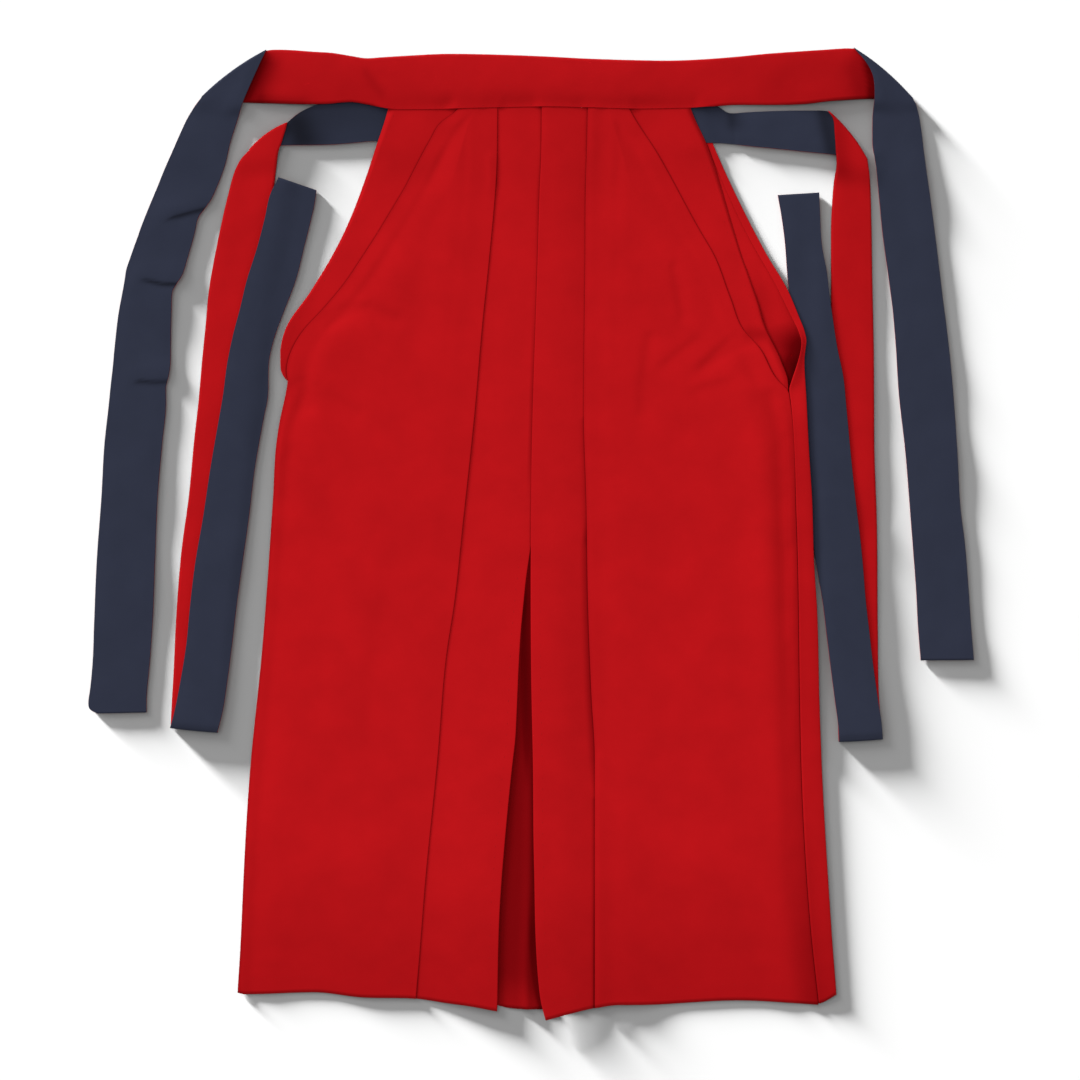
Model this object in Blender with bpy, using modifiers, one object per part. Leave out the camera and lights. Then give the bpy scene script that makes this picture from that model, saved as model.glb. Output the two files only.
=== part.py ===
"""Hakama: pleated, divided trousers with four long ties, laid flat on a table, front up.

The waist is at +Y and the hems at -Y, and the cloth lies on the plane Z = 0. "Left" and "right"
are the sides as seen from above, so the left leg is at -X. Every place on the cloth is given in
millimetres across from the centre front and down from the waist seam, and every height as a
number of layers of cloth.
"""

import math

import bmesh
import bpy
from mathutils import Vector

MM = 0.001

# ---- Driving dimensions, in millimetres ----
WALL = 1.0                  # thickness of every cloth wall
GAP = 0.3                   # air between two layers, and between two pieces at a seam
PITCH = WALL + GAP          # height of one layer in a stack
MIDDLE_ACROSS = 10.25       # from the middle of the laid-out width to the centre front
WAIST_ABOVE_MIDDLE = 425.7  # from the middle of the laid-out length to the waist seam

RETURN_AT_WAIST = 12.0      # turned-under edge along the centre front
RETURN_AT_HEM = 30.0        # turned-under edge along the slit between the legs
PLEAT_AT_WAIST = 25.0       # depth of the main knife pleat
PLEAT_AT_HEM = 35.0
SIDE_PLEAT_DEPTH = 12.0     # depth of the slanted pleat that ends at the side opening
SAG_LENGTH = 30.0           # a panel this wide between two pleats sags by one layer
CROTCH_ACROSS = -10.5       # the legs part here
BACK_OPENING_INSET = 20.0   # the left back's opening edge lies this far inside the front's
SEAM_INSET = 0.5            # and its side seam this far inside the front's hidden edge
OPENING_BASE_DOWN = 288.0   # the side openings end here
OPENING_TAPER = 60.0        # and over this length the two edges come together
EDGE_LIFT = 3.6             # the right leg's side edge lies over a tie
EDGE_LIFT_FROM = 26.0       # and rises from here to there, from the edge
EDGE_LIFT_TO = 10.0

ARC_STEPS = 3               # straight facets round a fold of one cloth
TIE_ARC_STEPS = 4           # and round a fold of a whole tie

RED = (0.47, 0.007, 0.010)
NAVY = (0.030, 0.035, 0.058)

# ---- Lines of the pleats: one row for each section across the garment ----
# All values are in mm. edge: side edge of the front. side: fold of the slanted pleat, which is
# the leg's outer edge below the side opening. pleat: fold of the main pleat. slit: centre edge.
# back_edge: outer edge of the right back, and back_turn: where its turned-over strip ends.
LINES = (
    "down left_edge left_side left_pleat left_slit "
    "right_slit right_pleat right_side right_edge back_edge back_turn"
).split()
SECTIONS = [
    (-20, -154.0, -84.0, -44.0, 0.0, 0.0, 46.5, 88.0, 149.0, 158.0, 153.0),
    (3, -154.0, -85.0, -44.0, 0.0, 0.0, 46.5, 89.0, 150.0, 158.0, 153.0),
    (14, -157.5, -101.0, -44.0, 0.0, 0.0, 46.0, 96.0, 155.5, 163.0, 158.0),
    (36, -164.5, -115.5, -44.5, 0.0, 0.0, 45.5, 110.0, 165.0, 172.5, 167.5),
    (56, -172.0, -126.5, -45.0, -0.5, -0.5, 45.0, 121.0, 171.0, 182.0, 175.5),
    (92, -186.5, -146.0, -47.5, -2.0, -2.0, 44.0, 141.0, 183.0, 199.0, 189.0),
    (142, -206.5, -172.5, -51.5, -3.5, -3.5, 44.0, 169.5, 198.5, 223.5, 212.0),
    (185, -232.0, -204.0, -56.0, -4.5, -4.5, 43.5, 187.0, 213.5, 248.0, 236.0),
    (222, -256.0, -239.0, -59.5, -6.0, -6.0, 43.5, 202.5, 225.5, 262.0, 250.0),
    (246, -260.0, -253.5, -61.5, -6.5, -6.5, 43.0, 221.0, 236.5, 264.0, 252.0),
    (264, -259.0, -256.0, -63.0, -7.0, -7.0, 43.0, 231.5, 243.5, 264.5, 251.0),
    (276, -252.5, -254.0, -64.0, -7.5, -7.5, 42.5, 240.0, 247.5, 265.0, 249.5),
    (288, -255.0, -256.5, -66.0, -8.0, -8.0, 42.5, 248.0, 246.5, 265.5, 249.0),
    (332, -263.0, -264.5, -70.0, -9.0, -9.0, 43.5, 250.5, 249.0, 267.5, 251.5),
    (433, -270.0, -271.5, -80.5, -10.5, -10.5, 45.5, 255.0, 253.5, 272.5, 256.0),
    (472, -272.5, -274.0, -85.0, -15.5, -10.5, 46.5, 255.5, 254.0, 274.0, 256.5),
    (542, -278.0, -279.5, -94.5, -21.5, -10.0, 48.5, 257.0, 255.5, 277.0, 258.0),
    (652, -289.0, -290.5, -104.0, -28.5, -8.5, 53.5, 259.5, 258.0, 281.0, 260.5),
    (768, -295.5, -297.0, -116.0, -39.0, -6.5, 53.5, 266.0, 264.5, 288.0, 267.0),
    (890, -301.5, -303.0, -125.0, -44.5, 3.5, 53.5, 277.0, 275.5, 295.0, 278.0),
]

# ---- Heights: layers under the cloth, down the garment ----
# front: under the lowest front layer. back: under the back. centre: extra layers that the back's
# turned-in edge puts under the centre front. turn: layers under the end of the back's turned-over
# strip, counted from the strip's flat state. lift: share of EDGE_LIFT.
LAYERS = "down front back centre turn lift".split()
HEIGHTS = [
    (3, 4, 1, 0, 0.0, 0.0),
    (14, 3, 1, 0, 0.0, 0.0),
    (36, 3, 1, 0, 0.0, 0.0),
    (56, 1, 0, 1, 0.0, 0.0),
    (142, 1, 0, 1, 0.0, 0.0),
    (185, 1, 0, 1, 0.0, 1.0),
    (246, 1, 0, 1, 0.0, 1.0),
    (264, 1, 0, 1, 0.5, 1.0),
    (288, 1, 0, 1, 2.0, 1.0),
    (433, 1, 0, 1, 2.0, 1.0),
    (542, 1, 0, 1, 2.0, 0.0),
]
WAIST_SEAM_ROW = 1  # above this section the front is inside the waistband
BACK_SEAM_ROW = 3   # above this section the back is inside the back waistband

# ---- Hem lines: across, down ----
FRONT_HEMS = {
    -1: [(-303, 884.5), (-227, 884.5), (-181, 889.5), (-125, 891.0), (-44, 903.5)],
    +1: [(4, 911.5), (53, 900.0), (100, 897.0), (195, 892.5), (277, 897.0)],
}
BACK_HEM = [
    (-303, 881.0), (-125, 888.0), (-42, 898.0), (0, 901.0), (53, 896.0), (277, 894.0), (295, 886.0)
]

# ---- Waistbands and ties: one row for each line across the strip ----
# The two ends of the line are on the strip's waist-side edge (in) and its leg-side edge (out).
# under_in, under_out: layers under those ends. fill: layers between the strip's two cloths.
# bend: how far the strip follows the swollen waistband. fold: the strip folds over itself here.
STRIP = "in_across in_down out_across out_down under_in under_out fill bend fold".split()
PLAIN, FOLD = False, True

FRONT_BAND = [
    (-153.2, -50.5, -153.2, 1.0, 0.0, 3.0, 1.0, 1.0, PLAIN),
    (-100.0, -53.5, -100.0, 0.5, 0.0, 3.0, 1.0, 1.0, PLAIN),
    (-88.0, -54.0, -88.0, 0.0, 0.0, 3.0, 3.0, 1.0, PLAIN),
    (-21.0, -52.5, -21.0, -0.5, 0.0, 3.0, 3.0, 1.0, PLAIN),
    (63.0, -48.5, 63.0, 0.5, 0.0, 3.0, 3.0, 1.0, PLAIN),
    (92.0, -48.0, 92.0, 1.0, 0.0, 3.0, 3.0, 1.0, PLAIN),
    (104.0, -47.5, 104.0, 1.0, 0.0, 3.0, 1.0, 1.0, PLAIN),
    (149.2, -47.5, 149.2, 0.0, 0.0, 3.0, 1.0, 1.0, PLAIN),
]
FRONT_TIE_LEFT = [
    (-153.5, -50.5, -153.5, 1.0, 0.0, 3.0, 1.0, 1.0, PLAIN),
    (-189.5, -53.0, -187.5, -6.5, 0.0, 2.4, 0.0, 0.0, PLAIN),
    (-224.0, -56.0, -226.0, -3.5, 0.0, 0.6, 0.0, 0.0, PLAIN),
    (-251.5, -58.0, -272.0, -4.5, 0.0, 0.0, 0.0, 0.0, PLAIN),
    (-275.5, -58.0, -341.5, -8.0, 0.0, 0.0, 0.0, 0.0, FOLD),
    (-298.5, -5.0, -349.5, 2.0, 2.0, 2.0, 0.0, 0.0, PLAIN),
    (-311.0, 33.0, -360.5, 19.0, 0.0, 0.0, 0.0, 0.0, PLAIN),
    (-324.5, 72.0, -377.0, 60.0, 0.0, 0.0, 0.0, 0.0, PLAIN),
    (-345.5, 120.0, -397.5, 112.0, 0.0, 0.0, 0.0, 0.0, PLAIN),
    (-360.5, 171.0, -415.0, 162.0, 0.0, 0.0, 0.0, 0.0, PLAIN),
    (-370.5, 212.0, -424.5, 214.0, 0.0, 0.0, 0.0, 0.0, PLAIN),
    (-376.0, 292.0, -432.5, 292.0, 0.0, 0.0, 0.0, 0.0, PLAIN),
    (-384.5, 393.0, -440.0, 388.0, 0.0, 0.0, 0.0, 0.0, PLAIN),
    (-389.0, 514.0, -447.0, 514.0, 0.0, 0.0, 0.0, 0.0, PLAIN),
    (-395.5, 604.5, -453.0, 602.0, 0.0, 0.0, 0.0, 0.0, PLAIN),
]
FRONT_TIE_RIGHT = [
    (149.5, -47.5, 149.5, 0.0, 0.0, 3.0, 1.0, 1.0, PLAIN),
    (186.5, -48.0, 186.5, -2.5, 0.0, 2.1, 0.0, 0.0, PLAIN),
    (228.5, -51.0, 228.5, -3.0, 0.0, 0.0, 0.0, 0.0, PLAIN),
    (285.0, -57.5, 310.0, -8.5, 0.0, 0.0, 0.0, 0.0, PLAIN),
    (312.5, -60.0, 371.5, -9.5, 0.0, 0.0, 0.0, 0.0, FOLD),
    (330.5, -6.0, 377.5, 9.0, 2.0, 2.0, 0.0, 0.0, PLAIN),
    (331.0, 27.0, 380.0, 24.0, 0.0, 0.0, 0.0, 0.0, PLAIN),
    (336.0, 66.0, 384.5, 64.0, 0.0, 0.0, 0.0, 0.0, PLAIN),
    (344.0, 145.0, 395.5, 140.0, 0.0, 0.0, 0.0, 0.0, PLAIN),
    (354.0, 230.0, 406.5, 226.0, 0.0, 0.0, 0.0, 0.0, PLAIN),
    (364.0, 342.0, 415.5, 338.0, 0.0, 0.0, 0.0, 0.0, PLAIN),
    (375.0, 480.0, 427.5, 477.0, 0.0, 0.0, 0.0, 0.0, PLAIN),
    (379.5, 552.5, 432.5, 552.0, 0.0, 0.0, 0.0, 0.0, PLAIN),
]
BACK_BAND = [
    (-146.3, -9.0, -146.3, 33.0, 0.0, 0.0, 1.0, 1.0, PLAIN),
    (-60.0, -8.0, -60.0, 34.0, 0.0, 0.0, 1.0, 1.0, PLAIN),
    (50.0, -7.5, 50.0, 34.5, 0.0, 0.0, 1.0, 1.0, PLAIN),
    (138.3, -7.5, 138.3, 34.5, 0.0, 0.0, 1.0, 1.0, PLAIN),
]
BACK_TIE_LEFT = [
    (-146.6, -9.0, -146.6, 33.0, 0.0, 0.0, 1.0, 1.0, PLAIN),
    (-169.5, -8.0, -169.5, 34.0, 0.0, 0.0, 0.0, 0.0, PLAIN),
    (-198.0, -5.5, -198.0, 36.0, 0.0, 0.0, 0.0, 0.0, PLAIN),
    (-227.5, -1.5, -236.5, 36.5, 0.0, 0.0, 0.0, 0.0, PLAIN),
    (-254.5, 14.5, -292.5, 42.0, 0.0, 0.0, 0.0, 0.0, FOLD),
    (-260.5, 37.0, -301.5, 53.0, 2.0, 2.0, 0.0, 0.0, PLAIN),
    (-267.0, 66.0, -309.5, 70.0, 0.0, 0.0, 0.0, 0.0, PLAIN),
    (-274.0, 97.0, -316.0, 95.0, 0.0, 0.0, 0.0, 0.0, PLAIN),
    (-290.0, 172.0, -332.0, 171.0, 0.0, 0.0, 0.0, 0.0, PLAIN),
    (-306.0, 337.0, -348.0, 337.0, 0.0, 0.0, 0.0, 0.0, PLAIN),
    (-325.0, 550.0, -367.5, 550.0, 0.0, 0.0, 0.0, 0.0, PLAIN),
    (-324.0, 624.5, -371.0, 620.0, 0.0, 0.0, 0.0, 0.0, FOLD),
    (-314.0, 572.0, -361.0, 572.0, 2.0, 2.0, 0.0, 0.0, PLAIN),
    (-305.5, 502.0, -352.0, 502.0, 2.0, 2.0, 0.0, 0.0, PLAIN),
    (-292.5, 408.0, -338.0, 408.0, 1.2, 3.0, 0.0, 0.0, PLAIN),
    (-274.0, 292.0, -319.0, 292.0, 0.4, 3.2, 0.0, 0.0, PLAIN),
    (-270.0, 237.0, -311.0, 237.0, 0.0, 3.3, 0.0, 0.0, PLAIN),
    (-248.0, 178.0, -296.0, 178.0, 0.0, 2.5, 0.0, 0.0, PLAIN),
    (-238.0, 142.0, -283.0, 142.0, 0.0, 2.3, 0.0, 0.0, PLAIN),
    (-230.0, 111.0, -274.0, 107.0, 0.0, 0.0, 0.0, 0.0, PLAIN),
    (-226.0, 81.0, -262.5, 70.0, 0.0, 0.0, 0.0, 0.0, PLAIN),
]
BACK_TIE_RIGHT = [
    (138.6, -7.5, 138.6, 34.5, 0.0, 0.0, 1.0, 1.0, PLAIN),
    (174.5, -5.0, 175.5, 34.5, 0.0, 0.0, 1.0, 1.0, PLAIN),
    (193.5, 5.0, 201.5, 37.0, 0.0, 0.0, 0.0, 0.0, PLAIN),
    (235.5, 3.0, 240.0, 41.0, 0.0, 0.0, 0.0, 0.0, PLAIN),
    (270.5, 2.7, 280.0, 45.5, 0.0, 0.0, 0.0, 0.0, PLAIN),
    (287.0, 3.0, 326.0, 52.0, 0.0, 0.0, 0.0, 0.0, FOLD),
    (294.5, 50.0, 328.5, 68.0, 2.0, 2.0, 0.0, 0.0, PLAIN),
    (291.8, 78.0, 329.0, 92.0, 0.0, 0.0, 0.0, 0.0, PLAIN),
    (289.8, 111.0, 329.5, 117.0, 0.0, 0.0, 0.0, 0.0, PLAIN),
    (290.0, 240.0, 332.0, 240.0, 0.0, 0.0, 0.0, 0.0, PLAIN),
    (293.5, 437.0, 335.5, 437.0, 0.0, 0.0, 0.0, 0.0, PLAIN),
    (297.0, 633.0, 340.0, 631.0, 0.0, 0.0, 0.0, 0.0, FOLD),
    (290.0, 565.0, 332.5, 565.0, 2.0, 2.0, 0.0, 0.0, PLAIN),
    (281.5, 500.0, 324.5, 500.0, 2.0, 2.0, 0.0, 0.0, PLAIN),
    (273.5, 441.0, 319.5, 441.0, 1.0, 3.2, 0.0, 0.0, PLAIN),
    (267.5, 391.0, 313.5, 391.0, 0.3, 3.6, 0.0, 0.0, PLAIN),
    (258.5, 299.0, 304.5, 299.0, 0.0, 3.0, 0.0, 0.0, PLAIN),
    (253.0, 240.0, 295.5, 240.0, 0.0, 2.5, 0.0, 0.0, PLAIN),
    (250.0, 210.0, 290.8, 210.0, 0.0, 2.2, 0.0, 0.0, PLAIN),
    (247.5, 185.0, 287.8, 185.0, 0.0, 0.0, 0.0, 0.0, PLAIN),
    (243.0, 131.0, 280.3, 137.0, 0.0, 0.0, 0.0, 0.0, PLAIN),
    (236.5, 87.0, 277.5, 84.5, 0.0, 0.0, 0.0, 0.0, PLAIN),
]
# Swell of a waistband over what is sewn into it: share of the width, of the layers under it, and
# of the layers inside it.
FRONT_SWELL = [(0.0, 0.0, 0.0), (0.3, 0.27, 0.6), (0.52, 0.93, 1.07), (1.0, 1.0, 1.0)]
BACK_SWELL = [(0.0, 0.0, 0.0), (0.25, 1.0, 1.0), (0.62, 1.0, 1.0), (1.0, 1.0, 1.0)]


# ---- Small helpers ----
def mix(start, end, share):
    return start + (end - start) * share


def clamp(value):
    return min(max(value, 0.0), 1.0)


def along(line, where):
    """Read a line of points (where, value), straight from point to point."""
    for (start, low), (end, high) in zip(line, line[1:]):
        if where <= end:
            return mix(low, high, clamp((where - start) / (end - start)))
    return line[-1][1]


def layer_height(layers):
    """Height of the middle of a cloth that has this many layers under it."""
    return WALL / 2 + PITCH * layers


def place(across, down, height):
    """A point of the cloth in the object's own frame, in metres."""
    return Vector((across + MIDDLE_ACROSS, WAIST_ABOVE_MIDDLE - down, height)) * MM


def arc(steps):
    """Sine and cosine at each step of a half turn, from straight down to straight up."""
    angles = [math.pi * (step / steps - 0.5) for step in range(steps + 1)]
    return [(math.sin(angle), math.cos(angle)) for angle in angles]


def fold_over(edge, inward, low, high):
    """Section points round a fold whose outermost point is at edge, from low to high."""
    radius = (high - low) / 2
    reach = max(abs(radius), PITCH / 2)
    return [
        (edge + inward * reach * (1 - cosine), mix(low, high, (sine + 1) / 2))
        for sine, cosine in arc(ARC_STEPS)
    ]


def cloth_material(name, colour):
    material = bpy.data.materials.new(name)
    material.use_nodes = True
    shader = material.node_tree.nodes["Principled BSDF"]
    shader.inputs["Base Color"].default_value = (*colour, 1.0)
    shader.inputs["Roughness"].default_value = 0.75
    shader.inputs["Metallic"].default_value = 0.0
    return material


def cloth_sheet(name, rows, material, collection, keep=lambda row, column: True):
    """One cut of cloth: a grid of points as an open surface, thickened both ways."""
    sheet = bmesh.new()
    grid = [[sheet.verts.new(point) for point in row] for row in rows]
    for r in range(len(rows) - 1):
        for c in range(len(rows[0]) - 1):
            if keep(r, c):
                sheet.faces.new((grid[r][c], grid[r + 1][c], grid[r + 1][c + 1], grid[r][c + 1]))
    loose = [vertex for vertex in sheet.verts if not vertex.link_faces]
    bmesh.ops.delete(sheet, geom=loose, context="VERTS")
    mesh = bpy.data.meshes.new(name)
    sheet.to_mesh(mesh)
    sheet.free()
    mesh.materials.append(material)
    piece = bpy.data.objects.new(name, mesh)
    collection.objects.link(piece)
    wall = piece.modifiers.new("Wall", "SOLIDIFY")
    wall.thickness = WALL * MM
    wall.offset = 0.0
    wall.use_even_offset = True
    return piece


# ---- Legs ----
def sections():
    """Each section's lines by name, with its heights."""
    for row in SECTIONS:
        section = dict(zip(LINES, row))
        for column, name in enumerate(LAYERS[1:], start=1):
            line = [(heights[0], heights[column]) for heights in HEIGHTS]
            section[name] = along(line, section["down"])
        yield section


def edge_lift(section, across):
    """How far the tie under the right leg's side edge raises the cloth."""
    from_edge = section["back_edge"] - across
    near_edge = clamp((EDGE_LIFT_FROM - from_edge) / (EDGE_LIFT_FROM - EDGE_LIFT_TO))
    return EDGE_LIFT * section["lift"] * near_edge


def front_section(section, side):
    """A front leg's section, from its turned-under centre edge out to its side edge."""
    name = "left" if side < 0 else "right"
    slit, pleat, side_fold, edge = (
        side * section[f"{name}_{line}"] for line in ("slit", "pleat", "side", "edge")
    )
    share = clamp(section["down"] / SECTIONS[-1][0])
    slit += (GAP + WALL) / 2
    return_end = slit + mix(RETURN_AT_WAIST, RETURN_AT_HEM, share)
    pleat_end = pleat + mix(PLEAT_AT_WAIST, PLEAT_AT_HEM, share)
    side_end = side_fold - SIDE_PLEAT_DEPTH
    level = [layer_height(section["front"] + n) for n in range(3)]
    centre = [layer_height(section["front"] + section["centre"] + n) for n in range(2)]
    span = side_end - 2 - pleat_end
    sag = min(2.0, max(0.0, span) / SAG_LENGTH) * PITCH
    points = [(return_end, centre[0])]
    points += fold_over(slit, +1, centre[0], centre[1])
    points += [(return_end + 2, centre[1]), (mix(return_end, pleat, 0.7), level[0])]
    points += fold_over(pleat_end, -1, level[0], level[1])
    points += fold_over(pleat, +1, level[1], level[2])
    points += [(pleat_end, level[2])]
    points += [(mix(pleat_end, side_end, share), level[2] - sag) for share in (0.3, 0.65)]
    points += [(side_end - 1, level[2])]
    points += fold_over(side_fold, -1, level[2], level[1])
    points += fold_over(side_end, +1, level[1], level[0])
    points += [(edge, level[0])]
    return points


def back_section(section, side):
    """A back leg's section, from its turned-in centre edge out to its side edge."""
    centre = side * max(section["left_slit"], CROTCH_ACROSS) + (GAP + WALL) / 2
    share = clamp(section["down"] / SECTIONS[-1][0])
    slit = side * section["left_slit" if side < 0 else "right_slit"]
    return_end = slit + mix(RETURN_AT_WAIST, RETURN_AT_HEM, share)
    low, high = (layer_height(section["back"] + n) for n in range(2))
    points = [(return_end, high)]
    points += fold_over(centre, +1, high, low)
    if side < 0:
        above_base = clamp((OPENING_BASE_DOWN - section["down"]) / OPENING_TAPER)
        edge = -section["left_edge"] - mix(SEAM_INSET, BACK_OPENING_INSET, above_base)
        points += [(mix(centre, edge, 0.5), low), (edge, low)]
        return points
    edge = section["back_edge"] - WALL / 2
    rise = [section["back_edge"] - EDGE_LIFT_FROM, section["back_edge"] - EDGE_LIFT_TO]
    points += [(mix(centre, edge, 0.5), low)] + [(across, low) for across in rise]
    points += fold_over(edge, -1, low, high)
    points += [(section["back_turn"], high + PITCH * section["turn"])]
    return points


def leg_rows(section_of, side, hem, first_row):
    rows = []
    for number, section in enumerate(sections()):
        if number < first_row:
            continue
        row = []
        for across, height in section_of(section, side):
            down = section["down"]
            if number == len(SECTIONS) - 1:
                down = along(hem, side * across)
            lift = edge_lift(section, across) if side > 0 else 0.0
            row.append(place(side * across, down, height + lift))
        rows.append(row)
    return rows


def front_leg(name, side, material, collection):
    def keep(row, column):
        return row >= WAIST_SEAM_ROW or column > ARC_STEPS

    rows = leg_rows(front_section, side, FRONT_HEMS[side], 0)
    return cloth_sheet(name, rows, material, collection, keep)


def back_leg(name, side, material, collection):
    first_row = WAIST_SEAM_ROW

    def keep(row, column):
        turned_in = column <= ARC_STEPS
        turned_over = side > 0 and column > ARC_STEPS + 4
        return row >= BACK_SEAM_ROW - first_row or not (turned_in or turned_over)

    rows = leg_rows(back_section, side, BACK_HEM, first_row)
    return cloth_sheet(name, rows, material, collection, keep)


# ---- Waistbands and ties ----
def strip_rows(table, swell, starts_on_top):
    """One cloth of a folded strip: its points across the strip, line after line."""
    rows = []
    on_top = starts_on_top
    previous_middle = None
    for values in table:
        line = dict(zip(STRIP, values))
        inner = Vector((line["in_across"], line["in_down"]))
        outer = Vector((line["out_across"], line["out_down"]))
        middle = (inner + outer) / 2
        if line["fold"]:
            outward = (outer - inner).orthogonal().normalized()
            if outward.dot(middle - previous_middle) < 0:
                outward = -outward
            radius = PITCH * (0.5 if on_top else 1.5)
            axis_height = layer_height(line["under_in"] + 1.5)
            inset = outward * (1.5 * PITCH + WALL / 2)
            for sine, cosine in arc(TIE_ARC_STEPS):
                rows.append([
                    place(*(inner.lerp(outer, share) - inset + outward * radius * cosine),
                          axis_height + radius * sine)
                    for share, _, _ in swell
                ])
            on_top = not on_top
        else:
            row = []
            for share, under_share, fill_share in swell:
                flat_under = mix(line["under_in"], line["under_out"], share)
                swollen_under = mix(line["under_in"], line["under_out"], under_share)
                layers = mix(flat_under, swollen_under, line["bend"])
                if on_top:
                    layers += 1 + line["fill"] * fill_share
                row.append(place(*inner.lerp(outer, share), layer_height(layers)))
            rows.append(row)
        previous_middle = middle
    return rows


def strip(name, table, swell, face_up, red, navy, collection):
    """A waistband or a tie: a red face and a navy lining, which fold together."""
    cloth_sheet(f"{name}_face", strip_rows(table, swell, face_up), red, collection)
    cloth_sheet(f"{name}_lining", strip_rows(table, swell, not face_up), navy, collection)


# ---- The garment ----
for old in list(bpy.data.objects):
    bpy.data.objects.remove(old)

hakama = bpy.data.collections.new("hakama")
bpy.context.scene.collection.children.link(hakama)
red_twill = cloth_material("red_twill", RED)
navy_twill = cloth_material("navy_twill", NAVY)

for side_name, side_sign in (("left", -1), ("right", +1)):
    front_leg(f"front_leg_{side_name}", side_sign, red_twill, hakama)
    back_leg(f"back_leg_{side_name}", side_sign, red_twill, hakama)

for strip_name, strip_table, strip_swell, shows_face in (
    ("front_waistband", FRONT_BAND, FRONT_SWELL, True),
    ("front_tie_left", FRONT_TIE_LEFT, FRONT_SWELL, True),
    ("front_tie_right", FRONT_TIE_RIGHT, FRONT_SWELL, True),
    ("back_waistband", BACK_BAND, BACK_SWELL, False),
    ("back_tie_left", BACK_TIE_LEFT, BACK_SWELL, False),
    ("back_tie_right", BACK_TIE_RIGHT, BACK_SWELL, False),
):
    strip(strip_name, strip_table, strip_swell, shows_face, red_twill, navy_twill, hakama)
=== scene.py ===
# %% [markdown]
# # A hakama laid out flat
# A hakama is a pair of pleated, divided trousers with a flat waistband and four long ties. This
# lesson lays one up on a table in Blender in the order in which the real one lies: the lowest
# cloth first, and each later cloth resting on what is already there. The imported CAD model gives
# the frame and the size; every piece here stands for one or more of its solids.

import math

import bpy
import numpy as np
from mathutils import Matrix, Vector
from mathutils.bvhtree import BVHTree


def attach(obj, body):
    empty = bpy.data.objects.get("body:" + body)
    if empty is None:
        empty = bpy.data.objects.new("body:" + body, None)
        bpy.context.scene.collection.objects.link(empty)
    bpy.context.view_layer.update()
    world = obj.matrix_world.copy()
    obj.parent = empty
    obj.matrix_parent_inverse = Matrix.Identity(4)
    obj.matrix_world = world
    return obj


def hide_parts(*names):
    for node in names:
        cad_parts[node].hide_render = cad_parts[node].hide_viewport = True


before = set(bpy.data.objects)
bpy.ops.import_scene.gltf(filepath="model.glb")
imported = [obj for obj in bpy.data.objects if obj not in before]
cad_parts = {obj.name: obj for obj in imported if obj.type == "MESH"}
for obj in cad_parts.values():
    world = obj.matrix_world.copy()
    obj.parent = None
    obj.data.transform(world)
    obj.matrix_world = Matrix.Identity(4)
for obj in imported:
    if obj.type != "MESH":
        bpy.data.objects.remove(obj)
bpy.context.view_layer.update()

# %% [markdown]
# ## Measuring in millimetres on a layout board
# A cutter measures from the corner of the board, so every line below is given in millimetres to
# the right and down from the upper left corner of a board 1080 mm square. The frame's own metres
# would do as well, but then no edge could be checked with a ruler. A few helpers turn the board
# into the frame, read a soft curve through measured points, and fade one value into another.

# %% The board
MM = 0.001
BOARD = 1080.0
ORIGIN_X, ORIGIN_Y = 531.25, 533.7  # the frame's origin on the board


def place(x, y, height):
    """Points of the cloth in the frame, in metres."""
    x, y, height = np.broadcast_arrays(x, y, height)
    return np.stack([x - ORIGIN_X, ORIGIN_Y - y, height], axis=-1) * MM


def soft_line(points, where):
    """Read a curve through (where, value) points that never swings past them."""
    at, value = np.array(points, dtype=float).T
    step = np.diff(at)
    rise = np.diff(value) / step
    slope = np.empty_like(at)
    slope[0], slope[-1] = rise[0], rise[-1]
    middle = (rise[:-1] * step[1:] + rise[1:] * step[:-1]) / (step[1:] + step[:-1])
    most = 3 * np.minimum(abs(rise[:-1]), abs(rise[1:])) * (rise[:-1] * rise[1:] > 0)
    slope[1:-1] = np.clip(middle, -most, most)
    where = np.clip(where, at[0], at[-1])
    i = np.clip(np.searchsorted(at, where) - 1, 0, len(step) - 1)
    t = (where - at[i]) / step[i]
    return (
        value[i] * (1 + 2 * t) * (1 - t) ** 2 + value[i + 1] * t * t * (3 - 2 * t)
        + step[i] * (slope[i] * t * (1 - t) ** 2 - slope[i + 1] * t * t * (1 - t))
    )


def mix(start, end, share):
    return start + (end - start) * share


def ease(value, start, end):
    """0 before start, 1 after end, and a soft slope between them."""
    t = np.clip((value - start) / (end - start), 0.0, 1.0)
    return t * t * (3 - 2 * t)


def span(value, start, full, fading, end):
    """0 outside start and end, 1 from full to fading, and soft slopes between them."""
    return ease(value, start, full) * ease(value, end, fading)


def hump(value, middle, width):
    """1 in the middle, and softly down to 0 on both sides."""
    return np.exp(-((value - middle) / width) ** 2)


print("board:", BOARD, "mm square, with the frame's origin at", ORIGIN_X, ORIGIN_Y)

# %% [markdown]
# ## The pile
# Laid cloth takes its height from what lies under it. A simulation could find that height, but it
# rounds pressed folds and lets them slip. Here the pile is a map of the board in 2 mm cells that
# holds the height of everything laid so far. A new layer rests on the pile, but it is too stiff
# to follow each step, so the map is first widened and then blurred by the same reach: widening
# keeps the layer clear of every edge below, and blurring rounds it over.

# %% Lay one layer on the pile
CELL = 2.0
CELLS = int(BOARD / CELL) + 1
AIR = 0.06  # between two layers, mm
PRESSED_REACH = 5.0  # reach of cloth beside a pressed fold, mm
QUARTERS = np.linspace(0.0, 1.0, 5)
pile = np.zeros((CELLS, CELLS))


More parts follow.
